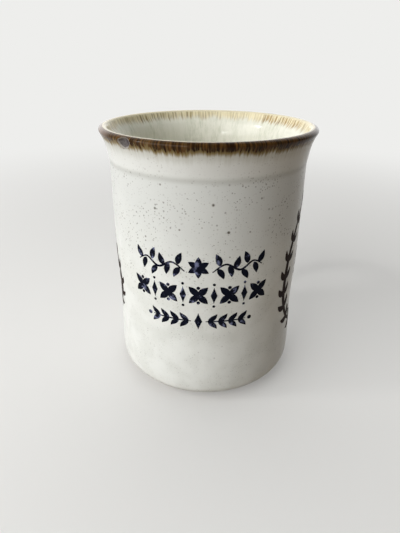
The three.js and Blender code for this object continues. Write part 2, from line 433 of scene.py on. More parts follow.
class HandMade:
    """The unevenness that throwing and a running glaze leave, as heights in millimetres."""

    SWELL = 0.07
    SWELL_LENGTH = 30.0
    SWELL_RISE = 0.6
    RIB = 0.02
    RIB_LENGTH = 55.0
    RIB_HEIGHT = 5.5
    RIB_START = 31.0
    CALM_NEAR_EDGE = 5.0
    CALMEST = 0.25

    @classmethod
    def height(cls, x: float, y: float, z: float) -> float:
        """How far the glaze stands out at a point.

        Args:
            x: millimetres from the cup's axis.
            y: millimetres from the cup's axis.
            z: millimetres above the foot's flat.

        Returns:
            Millimetres along the surface's normal.
        """
        swell = noise.noise(Vector((x, y, z * cls.SWELL_RISE)) / cls.SWELL_LENGTH)
        rib = noise.noise(
            Vector((x / cls.RIB_LENGTH, y / cls.RIB_LENGTH, z / cls.RIB_HEIGHT + cls.RIB_START))
        )
        calm = min(1.0, max(cls.CALMEST, min(z, CupSizes.height - z) / cls.CALM_NEAR_EDGE))
        return calm * (cls.SWELL * swell + cls.RIB * rib)

    @classmethod
    def heights(cls, points: np.ndarray) -> np.ndarray:
        """The same for a row of points."""
        return np.array([cls.height(*p) for p in points.reshape(-1, 3)]).reshape(points.shape[:-1])


def around(radius: np.ndarray | float, azimuth: np.ndarray | float, height: np.ndarray | float) -> np.ndarray:
    """Points about the cup's axis.

    Args:
        radius: millimetres from the axis.
        azimuth: radians from the front, towards the right side.
        height: millimetres above the foot's flat.

    Returns:
        Positions in millimetres, with the axis at x = y = 0.
    """
    radius, azimuth, height = np.broadcast_arrays(radius, azimuth, height)
    return np.stack((radius * np.sin(azimuth), -radius * np.cos(azimuth), height), axis=-1)


class Workshop:
    """Turns millimetre shapes into pieces that stand where the CAD nodes stand."""

    def __init__(self) -> None:
        """Finds the cup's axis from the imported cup."""
        low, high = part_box("body")
        self.axis = Vector(((low.x + high.x) / 2, (low.y + high.y) / 2, 0.0))

    def piece(
        self,
        name: str,
        points: np.ndarray,
        faces: Sequence[Sequence[int]],
        material: bpy.types.Material,
        crease: float = SHARP_TURN,
    ) -> bpy.types.Object:
        """Makes a smooth-shaded mesh object.

        Args:
            name: the piece's name.
            points: positions in millimetres about the cup's axis.
            faces: the corners of each face.
            material: its finish.
            crease: edges that turn by more degrees than this stay sharp.

        Returns:
            The new object.
        """
        mesh = bpy.data.meshes.new(name)
        mesh.from_pydata((np.asarray(points) * MM + np.array(self.axis)).tolist(), [], faces)
        mesh.materials.append(material)
        mesh.shade_smooth()
        mesh.set_sharp_from_angle(angle=math.radians(crease))
        mesh.validate()
        made = bpy.data.objects.new(name, mesh)
        bpy.context.scene.collection.objects.link(made)
        return made

    @staticmethod
    def keep(piece: bpy.types.Object, slot: Slot | None, *nodes: str) -> None:
        """Fixes a finished piece to the mug and reports it.

        Args:
            piece: the finished piece.
            slot: the record's slot of its finish, if it has one; not used.
            nodes: the CAD nodes that it stands for.
        """
        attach(piece, "root")
        if nodes:
            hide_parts(*nodes)
        LOG.info("%s: %d faces", piece.name, len(piece.data.polygons))


def turned(
    outline: np.ndarray, normals: np.ndarray, raised: slice, columns: int, loop: bool
) -> tuple[np.ndarray, Faces]:
    """Turns an outline about the cup's axis.

    Args:
        outline: radius and height of each point, with the material on the left hand.
        normals: the outline's normals.
        raised: which of its points bear the hand-made unevenness.
        columns: divisions round the axis.
        loop: True if the outline closes on itself, False if both ends lie on the axis.

    Returns:
        The points and the faces.
    """
    azimuth = np.linspace(0, 2 * math.pi, columns, endpoint=False)
    radius, height = outline[:, :1], outline[:, 1:]
    points = around(radius, azimuth, height)
    out = np.zeros(points.shape[:-1])
    out[raised] = HandMade.heights(points[raised])
    points = around(radius + normals[:, :1] * out, azimuth, height + normals[:, 1:] * out)
    numbers = np.arange(out.size).reshape(out.shape)
    if not loop:
        # Each end closes in one point on the axis.
        points[[0, -1], :, :2] = 0.0
        numbers[0], numbers[-1] = numbers[0, 0], numbers[-1, 0]
    used, numbers = np.unique(numbers, return_inverse=True)
    rings = [*numbers.reshape(out.shape)]
    rings += rings[:1] if loop else []
    faces = [face for low, high in zip(rings, rings[1:]) for face in joined(low, high)]
    return points.reshape(-1, 3)[used], [tuple(dict.fromkeys(face)) for face in faces]


class Cup:
    """The thrown cup: its clay and the three glaze coats over it."""

    COLUMNS = 288
    RECESS_ROWS = 24
    FOOT_STEPS = 4

    def __init__(self, workshop: Workshop, outline: CupOutline) -> None:
        """Keeps what every coat is made from.

        Args:
            workshop: makes the pieces.
            outline: the glazed outline.
        """
        self.workshop = workshop
        self.outline = outline
        self.sizes = outline.sizes

    def clay(self, material: bpy.types.Material) -> bpy.types.Object:
        """Makes the clay under the glaze, with the bare foot ring below it.

        Args:
            material: its finish.

        Returns:
            The new piece.
        """
        s, out = self.sizes, self.outline
        outer = s.belly[0] - s.corner_width - s.foot_inset
        inner = outer - s.foot_ring_width
        middle = [(r, s.foot_recess) for r in np.linspace(0, inner - s.foot_recess_slope, self.RECESS_ROWS)]
        edge = s.foot_round
        inside_edge = ellipse_arc((inner + edge, edge), edge, edge, math.pi, 1.5 * math.pi, self.FOOT_STEPS)
        outside_edge = ellipse_arc((outer - edge, edge), edge, edge, -math.pi / 2, 0, self.FOOT_STEPS)
        rise = [(outer, s.foot_height + s.glaze)]
        line = np.vstack((middle, inside_edge, outside_edge, rise, out.backing[out.coarse]))
        points, faces = turned(line, line, slice(0), self.COLUMNS, loop=False)
        return self.workshop.piece("clay_cup", points, faces, material)

    def coat(self, coat: Coat, name: str, material: bpy.types.Material) -> bpy.types.Object:
        """Makes one glaze coat, as a closed skin between the glazed surface and the clay.

        Args:
            coat: which coat.
            name: the piece's name.
            material: its finish.

        Returns:
            The new piece.
        """
        out = self.outline
        first, last = {
            Coat.WALL: (0, out.outer_seam),
            Coat.LIP: (out.outer_seam, out.inner_seam),
            Coat.LINER: (out.inner_seam, len(out.points) - 1),
        }[coat]
        shown = slice(first, last + 1)
        behind = out.coarse[(out.coarse >= first) & (out.coarse <= last)][::-1]
        sides = [(out.points[shown], out.normals[shown]), (out.backing[behind], out.normals[behind])]
        raised = slice(last + 1 - first)
        # The liner reaches the axis, so its outline is open there and starts with its back.
        loop = coat is not Coat.LINER
        if not loop:
            sides.reverse()
            raised = slice(len(behind), None)
        line, normals = (np.vstack(part) for part in zip(*sides))
        points, faces = turned(line, normals, raised, self.COLUMNS, loop)
        return self.workshop.piece(name, points, faces, material)


@dataclass(frozen=True)
class ChipSizes:
    """A shallow chip in the lip, in millimetres and degrees."""

    azimuth: float = -37.5
    above_edge: float = 1.75
    radius: float = 3.9
    depth: float = 1.2
    stretch: float = 1.24
    tilt: float = 32.0
    roughness: float = 0.12
    grain: float = 1.1


class LipChip:
    """A chip knocked out of the lip, which bares the clay inside a ring of broken glaze."""

    BALL_FINENESS = 6
    GRAIN_FALL = 0.6
    GRAIN_STEP = 2.1
    GRAIN_LAYERS = 3
    BROKEN_EDGE = 60.0

    def __init__(self, workshop: Workshop, outline: CupOutline, sizes: ChipSizes) -> None:
        """Works out where the chip lies.

        Args:
            workshop: makes the pieces.
            outline: the glazed outline.
            sizes: the chip's sizes.
        """
        self.workshop = workshop
        self.sizes = sizes
        height = outline.sizes.height - outline.sizes.band_drop_outside + sizes.above_edge
        row = int(np.argmin(abs(outline.points[: outline.crest, 1] - height)))
        centre = outline.points[row] + outline.normals[row] * (sizes.radius - sizes.depth)
        turn = math.radians(sizes.azimuth)
        self.centre = around(centre[0], turn, centre[1])
        out = around(outline.normals[row, 0], turn, outline.normals[row, 1])
        aside = np.array((math.cos(turn), math.sin(turn), 0.0))
        self.frame = np.array((aside, np.cross(out, aside), out))

    def _scoop(self, material: bpy.types.Material) -> bpy.types.Object:
        """Makes the broken surface as a rough oval ball, which the chip is cut with.

        Args:
            material: the finish of the broken face.

        Returns:
            The ball, in its place.
        """
        s = self.sizes
        ball = bmesh.new()
        bmesh.ops.create_icosphere(ball, subdivisions=self.BALL_FINENESS, radius=s.radius)
        points = np.array([v.co for v in ball.verts])
        faces = [[v.index for v in face.verts] for face in ball.faces]
        ball.free()
        grain = (self.GRAIN_FALL, self.GRAIN_STEP, self.GRAIN_LAYERS)
        bumps = np.array([noise.fractal(Vector(p) / s.grain, *grain) for p in points])
        points *= (1 + s.roughness * bumps / s.radius)[:, None]
        points *= (s.stretch, 1 / s.stretch, 1)
        slant = np.array(Matrix.Rotation(math.radians(s.tilt), 3, "Z")).T
        points = points @ slant @ self.frame + self.centre
        return self.workshop.piece("chip_scoop", points, faces, material, self.BROKEN_EDGE)

    def cut(self, piece: bpy.types.Object, material: bpy.types.Material) -> None:
        """Cuts the chip out of a piece.

        Args:
            piece: the piece to cut.
            material: the finish of the broken face.
        """
        scoop = self._scoop(material)
        cut = piece.modifiers.new("chip", "BOOLEAN")
        cut.operation, cut.solver, cut.object, cut.material_mode = "DIFFERENCE", "EXACT", scoop, "TRANSFER"
        shape = piece.evaluated_get(bpy.context.evaluated_depsgraph_get())
        mesh = bpy.data.meshes.new_from_object(shape)
        piece.modifiers.clear()
        whole = piece.data
        piece.data = mesh
        mesh.name = piece.name
        mesh.set_sharp_from_angle(angle=math.radians(SHARP_TURN))
        bpy.data.meshes.remove(whole)
        bpy.data.objects.remove(scoop)


@dataclass(frozen=True)
class HandleSizes:
    """Sizes of the glazed strap handle in millimetres."""

    reach: float = 30.8
    top_below_rim: float = 21.0
    bottom_height: float = 27.0
    rise: float = 7.0
    tuck: float = 5.0
    lower_fullness: float = 0.82
    width: tuple[float, float] = (15.5, 12.5)
    thickness: tuple[float, float] = (7.6, 6.4)
    squareness: float = 2.5
    root_spread: float = 4.5
    root_length: float = 14.0
    root_inset: float = 3.0
    fillet: float = 3.2
    stations: int = 24


class StrapHandle:
    """The pulled strap handle under its glaze, run out onto the wall at both roots."""

    SIDES = 56
    SCAN = 900
    CURVE_STEPS = 4000
    FREE_ROWS = 46
    FILLET_ROWS = 12
    RUN_BACK = 12
    SUNK = 0.02
    TAIL = 0.5
    SOFT_EDGE = 60.0

    def __init__(self, workshop: Workshop, outline: CupOutline, sizes: HandleSizes) -> None:
        """Works out the handle's centre line.

        Args:
            workshop: makes the pieces.
            outline: the glazed outline.
            sizes: the handle's sizes.
        """
        self.workshop = workshop
        self.outline = outline
        self.sizes = sizes
        top = outline.sizes.height - sizes.top_below_rim
        wall = float(outline.wall_radius(top))
        foot = float(outline.wall_radius(sizes.bottom_height))
        self.start = np.array((wall - sizes.root_inset, top))
        self.end = np.array((foot - sizes.root_inset, sizes.bottom_height))
        # Two trial curves tell how hard the strap is pulled out to get its reach.
        wanted = wall + sizes.reach - sum(sizes.thickness) / 4 - outline.sizes.glaze
        near, far = (self._pulled(k * sizes.reach, sizes.stations)[:, 0].max() for k in (1, 2))
        pull = sizes.reach + sizes.reach * (wanted - near) / (far - near)
        curve = self._pulled(pull, self.CURVE_STEPS)
        self.length = lengths_along(curve)[-1]
        self.line = at_lengths(curve, np.linspace(0, self.length, self.SCAN + 1))
        self.tangent = np.gradient(self.line, axis=0)
        self.tangent /= np.linalg.norm(self.tangent, axis=1)[:, None]

    def _pulled(self, pull: float, steps: int) -> np.ndarray:
        """Draws the ear curve for one strength of pull.

        Args:
            pull: how far out from the roots the curve is drawn.
            steps: how many steps it has.

        Returns:
            The distance from the axis and the height of each point.
        """
        lead = self.start + (pull, self.sizes.rise)
        trail = self.end + (pull * self.sizes.lower_fullness, -self.sizes.tuck)
        t = np.linspace(0, 1, steps + 1)[:, None]
        ends = (1 - t) ** 3 * self.start + t**3 * self.end
        return ends + 3 * (1 - t) ** 2 * t * lead + 3 * (1 - t) * t**2 * trail

    def _side(self, angle: float) -> np.ndarray:
        """Follows the strap's surface from root to root, at one place round its section.

        Args:
            angle: the place, in radians.

        Returns:
            The points of the line.
        """
        s = self.sizes
        share = np.linspace(0, 1, self.SCAN + 1)
        from_root = np.minimum(share, 1 - share) * self.length
        spread = s.root_spread * np.maximum(0, 1 - from_root / s.root_length) ** 2 + self.outline.sizes.glaze
        across, out = (signed_power(v, 2 / s.squareness) for v in (math.cos(angle), math.sin(angle)))
        x = (np.interp(share, (0, 1), s.width) / 2 + spread) * across
        y = (np.interp(share, (0, 1), s.thickness) / 2 + spread) * out
        return np.column_stack(
            (x, self.line[:, 0] - self.tangent[:, 1] * y, self.line[:, 1] + self.tangent[:, 0] * y)
        )

    def _clearance(self, points: np.ndarray) -> np.ndarray:
        """How far points stand off the wall."""
        return np.hypot(points[..., 0], points[..., 1]) - self.outline.wall_radius(points[..., 2])

    def _on_wall(self, point: np.ndarray, sunk: float) -> np.ndarray:
        """The wall's own surface next to a point, sunk by a little."""
        radius = float(self.outline.wall_radius(point[2])) + HandMade.height(*point) - sunk
        return np.array((*point[:2] / np.hypot(*point[:2]) * radius, point[2]))

    def _root(self, angle: float, side: np.ndarray, upwards: float) -> np.ndarray:
        """Leads one surface line from the middle of the strap down to the wall and out along it.

        Args:
            angle: the place round the section.
            side: the strap's surface line, from the middle towards the wall.
            upwards: 1 at the upper root, and -1 at the lower one.

        Returns:
            The line's points, the same number for every angle.
        """
        s = self.sizes
        off = self._clearance(side)
        meets, leaves = int(np.argmax(off <= 0)), int(np.argmax(off <= s.fillet))
        foot = side[meets]
        wall_out = np.array((*foot[:2] / np.hypot(*foot[:2]), 0.0))
        run = foot - side[max(meets - self.RUN_BACK, 0)]
        run /= np.linalg.norm(run)
        up = np.cross((1.0, 0.0, 0.0), -run if run[1] < 0 else run)
        power = 2 * (s.squareness - 1) / s.squareness
        across = signed_power(math.cos(angle), power) / s.width[0]
        out = signed_power(math.sin(angle), power) / s.thickness[0]
        away = np.array((across, 0.0, 0.0)) + up * out * upwards
        away -= wall_out * away.dot(wall_out)
        away /= np.linalg.norm(away)
        landing = self._on_wall(foot + away * s.fillet, self.SUNK)
        free = side[np.round(np.linspace(0, leaves, self.FREE_ROWS)).astype(int)]
        t = np.linspace(0, 1, self.FILLET_ROWS + 1)[1:, None]
        fillet = (1 - t) ** 2 * side[leaves] + 2 * (1 - t) * t * foot + t**2 * landing
        return np.vstack((free, fillet, self._on_wall(landing, self.TAIL)))

    def build(self, material: bpy.types.Material) -> bpy.types.Object:
        """Makes the glazed handle.

        Args:
            material: its finish.

        Returns:
            The new piece.
        """
        half = self.SCAN // 2
        lines = []
        for angle in np.linspace(0, 2 * math.pi, self.SIDES, endpoint=False).tolist():
            side = self._side(angle)
            upper = self._root(angle, side[half::-1], 1.0)
            lower = self._root(angle, side[half:], -1.0)
            lines.append(np.vstack((upper[::-1], lower[1:])))
        rings = np.array(lines).transpose(1, 0, 2)
        numbers = np.arange(len(rings) * self.SIDES).reshape(-1, self.SIDES)
        faces = [face for a, b in zip(numbers, numbers[1:]) for face in joined(b, a)]
        first, last = numbers[0].tolist(), numbers[-1][::-1].tolist()
        for end, ring in enumerate((first, last)):
            faces += [(a, b, numbers.size + end) for a, b in zip(ring, ring[1:] + ring[:1])]
        points = np.vstack((rings.reshape(-1, 3), rings[0].mean(0), rings[-1].mean(0)))
        return self.workshop.piece("glazed_handle", points, faces, material, self.SOFT_EDGE)


@dataclass(frozen=True)
class Stroke:
    """A band of ink on the unrolled wall: points along its middle and its width at each, in millimetres."""

    spine: np.ndarray
    widths: np.ndarray

    def mirrored(self) -> "Stroke":
        """The same stroke on the other side of the middle line."""
        return Stroke(self.spine * (-1, 1), self.widths)


class Pen:
    """Draws the common motifs of border ornament as strokes."""

    STEP = 0.45
    THINNEST = 0.08
    CURVE_STEPS = 12
    FEWEST_ROWS = 4
    LEAF_ROWS = 7
    LEAF_WIDEST = 0.8
    LEAF_FULLNESS = 0.85
    DOT_ROWS = 13
    LOZENGE_HOLLOW = 1.15

    @classmethod
    def line(cls, through: Sequence[Sequence[float]], thin: float, thick: float) -> Stroke:
        """A curved stem that swells in its middle.

        Args:
            through: points that it passes through.
            thin: width at the ends.
            thick: width in the middle.

        Returns:
            The stroke.
        """
        curve = spline_through(through, cls.CURVE_STEPS)
        total = lengths_along(curve)[-1]
        rows = max(cls.FEWEST_ROWS, round(total / cls.STEP))
        spine = at_lengths(curve, np.linspace(0, total, rows))
        swell = np.sin(np.linspace(0, math.pi, len(spine)))
        return Stroke(spine, thin + (thick - thin) * swell)

    @classmethod
    def leaf(
        cls, base: Sequence[float], lean: float, length: float, width: float, bend: float = 0.0
    ) -> Stroke:
        """A pointed leaf.

        Args:
            base: where it grows from.
            lean: degrees from the upright, to the right.
            length: from base to tip.
            width: at its widest.
            bend: how far its middle bows to the right.

        Returns:
            The stroke.
        """
        share = np.linspace(0, 1, max(cls.LEAF_ROWS, round(length / cls.STEP)))
        turn = math.radians(lean)
        along = np.array((math.sin(turn), math.cos(turn)))
        aside = np.array((math.cos(turn), -math.sin(turn)))
        bow = np.outer(np.sin(math.pi * share) * bend, aside)
        spine = np.array(base) + np.outer(share * length, along) + bow
        profile = np.sin(math.pi * share**cls.LEAF_WIDEST) ** cls.LEAF_FULLNESS
        return Stroke(spine, np.maximum(cls.THINNEST, width * profile))

    @classmethod
    def _upright(cls, centre: Sequence[float], rise: np.ndarray, widths: np.ndarray) -> Stroke:
        """A stroke that stands on end."""
        spine = np.array(centre) + np.column_stack((np.zeros(len(rise)), rise))
        return Stroke(spine, np.maximum(cls.THINNEST, widths))

    @classmethod
    def bead(cls, centre: Sequence[float], radius: float) -> Stroke:
        """A round dot."""
        angle = np.linspace(0, math.pi, cls.DOT_ROWS)
        return cls._upright(centre, -radius * np.cos(angle), 2 * radius * np.sin(angle))

    @classmethod
    def lozenge(cls, centre: Sequence[float], width: float, height: float) -> Stroke:
        """An upright diamond with slightly hollow sides."""
        share = np.linspace(-1, 1, cls.DOT_ROWS)
        return cls._upright(centre, share * height / 2, width * (1 - abs(share)) ** cls.LOZENGE_HOLLOW)


class Ornament:
    """A group of printed strokes wrapped round the wall, sunk into its glaze."""

    LIFT = 0.05
    DEPTH = 0.15
    # Strokes that cross each other lie on one of three layers.
    LAYER = 0.006
    LAYERS = 3
    INK_EDGE = 30.0

    def __init__(self, workshop: Workshop, outline: CupOutline, azimuth: float, height: float) -> None:
        """Keeps the place of the ornament's middle.

        Args:
            workshop: makes the pieces.
            outline: the glazed outline.
            azimuth: degrees from the front.
            height: millimetres above the foot's flat.
        """
        self.workshop = workshop
        self.outline = outline
        self.azimuth = math.radians(azimuth)
        self.height = height

    def _wrap(self, flat: np.ndarray, lift: float) -> np.ndarray:
        """Lays points of the unrolled wall onto the real one.

        Args:
            flat: how far right and up of the ornament's middle each point is.
            lift: how far they stand off the glaze.

        Returns:
            Positions about the cup's axis.
        """
        height = flat[..., 1] + self.height
        azimuth = flat[..., 0] / self.outline.sizes.middle[0] + self.azimuth
        radius = self.outline.wall_radius(height)
        uneven = HandMade.heights(around(radius, azimuth, height))
        return around(radius + uneven + lift, azimuth, height)

    def build(self, name: str, strokes: Sequence[Stroke], material: bpy.types.Material) -> bpy.types.Object:
        """Makes one piece of all the strokes, each a closed slip of ink.

        Args:
            name: the piece's name.
            strokes: what is drawn.
            material: the ink.

        Returns:
            The new piece.
        """
        points: list[np.ndarray] = []
        faces: Faces = []
        start = 0
        for order, stroke in enumerate(strokes):
            along = np.gradient(stroke.spine, axis=0)
            along /= np.linalg.norm(along, axis=1)[:, None]
            aside = np.column_stack((along[:, 1], -along[:, 0])) * stroke.widths[:, None] / 2
            flat = np.stack((stroke.spine - aside, stroke.spine, stroke.spine + aside), axis=1)
            top = self._wrap(flat, self.LIFT + self.LAYER * (order % self.LAYERS))
            rings = np.concatenate((top, self._wrap(flat[:, ::-1], -self.DEPTH)), axis=1)
            numbers = start + np.arange(rings[..., 0].size).reshape(rings.shape[:2])
            faces += [face for a, b in zip(numbers, numbers[1:]) for face in joined(a, b)]
            faces += [tuple(numbers[0][::-1].tolist()), tuple(numbers[-1].tolist())]
            points.append(rings.reshape(-1, 3))
            start += numbers.size
        return self.workshop.piece(name, np.vstack(points), faces, material, self.INK_EDGE)


@dataclass(frozen=True)
class MugSpace:
    """Sockets that tell a material where it is on the mug, in millimetres."""

    place: Socket
    height: Socket
    radius: Socket
    spoke: Socket
    runs: Socket
    drops: Socket

    @classmethod
    def of(cls, add: Adder, axis: Vector) -> "MugSpace":
        """Adds the nodes that measure the mug.

        Args:
            add: adds a node to the material.
            axis: where the cup's axis stands.

        Returns:
            The sockets.
        """
        here = add(Kind.PLACE).node.outputs["Object"]
        scale, shift = (1 / MM,) * 3, (-axis.x / MM, -axis.y / MM, 0)
        place = add(Kind.VECTOR, here, scale, shift, operation="MULTIPLY_ADD")
        height = add(Kind.SPLIT, place).node.outputs["Z"]
        flat = add(Kind.VECTOR, place, (1, 1, 0), operation="MULTIPLY")
        radius = add(Kind.VECTOR, flat, operation="LENGTH")
        spoke = add(Kind.VECTOR, flat, operation="NORMALIZE")
        # Glaze runs down, so what varies with it is ten or three times longer than it is wide.
        rim = (CupSizes.lip_radius,) * 3
        long, short = (add(Kind.VECTOR, place, (0, 0, k), operation="MULTIPLY") for k in (0.1, 0.3))
        runs = add(Kind.VECTOR, spoke, rim, long, operation="MULTIPLY_ADD")
        drops = add(Kind.VECTOR, spoke, rim, short, operation="MULTIPLY_ADD")
        return cls(place, height, radius, spoke, runs, drops)


@dataclass(frozen=True)
class Finish:
    """A finish whose look depends on where a point lies on the mug."""

    name: str

    def material(self, axis: Vector) -> bpy.types.Material:
        """Makes the material.

        Args:
            axis: where the cup's axis stands.

        Returns:
            The finished material.
        """
        material, tree = new_material(self.name)
        add = partial(add_node, tree)
        add(Kind.OUTPUT, add(Kind.SURFACE, named=self.look(add, MugSpace.of(add, axis))))
        return material

    def look(self, add: Adder, space: MugSpace) -> dict[str, Value]:
        """Adds the finish's own nodes.

        Args:
            add: adds a node to the material.
            space: where the point is.

        Returns:
            What goes into each input of the surface.
        """
        raise NotImplementedError


@dataclass(frozen=True)
class IronRun:
    """How the iron oxide lies on the lip, as sockets that the glaze is coloured by."""

    fall: Socket
    past: Socket
    left: Socket
    near: Socket
    right: Socket
    rear: Socket
    calm: Socket


@dataclass(frozen=True)
class BurntSpot:
    """A larger iron spot in the wall's glaze: degrees from the front, and millimetres."""

    azimuth: float
    height: float
    size: float = 0.8
    strength: float = 0.6

    @property
    def centre(self) -> tuple[float, ...]:
        """Its place about the cup's axis, with the wall's radius near enough for a spot."""
        return tuple(around(CupSizes.middle[0], math.radians(self.azimuth), self.height).tolist())


@dataclass(frozen=True)
class Specks:
    """Small specks in a grid: its pitch and their largest radius in millimetres, and how few and strong."""

    pitch: float
    largest: float
    rarity: float
    strength: float


@dataclass(frozen=True)
class FiredGlaze(Finish):
    """Stoneware glazes fused in one firing: tin white outside, ash liner, iron oxide run down from the lip.

    All the coats melt into each other, so each material draws the same field and differs in its name and in
    how much it mirrors.
    """

    ior: float
    gloss: float = 0.13
    white: str = "ecf0ed"
    white_cloud: str = "e3e7e3"
    # The upper wall's grey is painted shade.
    upper: str = "d8dcda"
    # The lap's lighter white is partly thicker glaze and partly painted light.
    lap_and_painted_light: str = "e4e8e6"
    # The soft grey line under the shoulder's step is painted shadow.
    thin: str = "b0b4ae"
    liner: str = "eae9dc"
    liner_cloud: str = "d0d2c0"
    iron_dark: str = "261506"
    iron_brown: str = "604320"
    # The paler dull red on the lip's left end is painted light.
    iron_red_painted_light: str = "7b6a5f"
    stain: str = "857346"
    halo: str = "b8b9ae"
    amber: str = "98722e"
    olive: str = "8a7434"
    burnt: str = "6a4a24"
    cream: str = "e9debb"
    # The crest's pale line is partly paler glaze and partly a painted highlight.
    crest: str = "e0d7b9"
    speck: str = "605c55"

    def look(self, add: Adder, space: MugSpace) -> dict[str, Value]:
        """Adds the glaze's own nodes.

        Args:
            add: adds a node to the material.
            space: where the point is.

        Returns:
            What goes into each input of the surface.
        """
        return GlazeField(self, add, space).look()


class GlazeSizes:
    """Sizes of the fired glaze's patterns, in millimetres."""

    LAP = CupSizes.height - CupSizes.shoulder_below_rim + 0.4
    LEANS_ABOVE = 90.0
    CLOUD = 9.0
    # Painted shade on the upper wall: the size of the waves in its lower edge, and how far they rise and
    # fall.
    PAINTED_TOP_SHADE = 16.0
    PAINTED_TOP_SHADE_RISE = 24.0
    LAP_WAVE = 14.0
    LAP_WAVE_RISE = 1.2
    PATCH = 6.0
    PEEL = 3.0
    PEEL_RELIEF = 0.03
    RUN = 0.85
    RUN_GROUP = 4.5
    DARK_RUN = 0.7
    PALE_RUN = 0.6
    THREAD = 0.8
    THICK_THREAD = 2.2
    THREAD_PATCH = 6.0
    DROP = 1.9
    DROP_GROUP = 8.0


class Share:
    """How each share grows or fades: where it starts and ends, and how much it is at each.

    The first rows go by millimetres, then come places round the lip as the cosine of the angle from a side,
    and then the strength of a pattern.
    """

    INSIDE = (-0.2, 0.6, 0.0, 1.0)
    ABOVE_FLOOR = (5.0, 6.5, 0.0, 1.0)
    # Painted shade on the upper wall.
    PAINTED_TOP_SHADE = (58.0, 92.0, 0.0, 1.0)
    # The lighter lap: partly thicker glaze, partly painted light.
    LAP_WITH_PAINTED_LIGHT = (GlazeSizes.LAP - 0.1, GlazeSizes.LAP + 1.2, 0.0, 1.0)
    # The painted shadow under the shoulder's step.
    PAINTED_SHADOW_BELOW_LAP = (GlazeSizes.LAP - 1.6, GlazeSizes.LAP, 0.0, 0.34)
    PAINTED_SHADOW_ABOVE_LAP = (GlazeSizes.LAP, GlazeSizes.LAP + 1.8, 1.0, 0.0)
    HALO = (0.8, 4.4, 0.55, 0.0)
    STAIN = (0.2, 1.6, 0.95, 0.0)
    IRON = (-0.5, 0.35, 1.0, 0.0)
    HIGH_ON_LIP = (1.1, 2.0, 1.0, 0.1)
    PALE_BELOW = (-1.6, -0.1, 0.1, 0.9)
    CREAM = (-1.3, 1.0, 0.92, 0.0)
    THREAD_TOP = (0.1, 0.7, 0.0, 1.0)
    THREAD_END = (-0.5, 1.3, 1.0, 0.0)
    CREST_OUTSIDE = (-0.7, -0.25, 0.0, 1.0)
    CREST_INSIDE = (0.5, 1.1, 1.0, 0.0)
    CREST_ABOVE = (95.4, 96.4, 0.0, 0.92)
    SPECKS_ABOVE = (40.0, 66.0, 0.35, 1.0)
    SPECKS_HIDDEN = (GlazeSizes.LAP - 1.2, GlazeSizes.LAP + 0.8, 1.0, 0.35)

    SHORT_ON_LEFT = (0.4, 0.95, 0.0, 0.25)
    # Painted light on the lip's left end.
    PAINTED_LIGHT_ON_LEFT = (0.88, 0.98, 0.0, 1.0)
    PALE_ON_LEFT = (0.0, 0.75, 0.6, 1.0)
    CREST_NEAR = (0.72, 0.96, 1.0, 0.25)
    ROW_ON_RIGHT = (0.89, 0.97, 0.0, 1.0)
    THREADS_AT_REAR = (0.9, 0.97, 0.75, 1.0)
    CALM = (0.93, 0.985, 1.0, 0.6)

    REACH = (0.62, 0.98, 2.2, 3.4)
    SATIN = (0.35, 0.65, 0.18, 0.26)
    CLOUD = (0.38, 0.66, 0.0, 1.0)
    PALE_RUN = (0.4, 0.52, 1.0, 0.0)
    DROP = (0.4, 0.68, 0.0, 1.0)
    DROP_GROUP = (0.4, 0.6, 0.35, 1.0)
    THREAD_PATCH = (0.38, 0.54, 0.7, 1.0)
    THREAD_START = (0.0, 1.0, 0.42, 0.38)
    THICK_THREAD = (0.46, 0.6, 0.0, 0.7)
    SPECK_DRIFT = (0.42, 0.58, 0.3, 1.0)


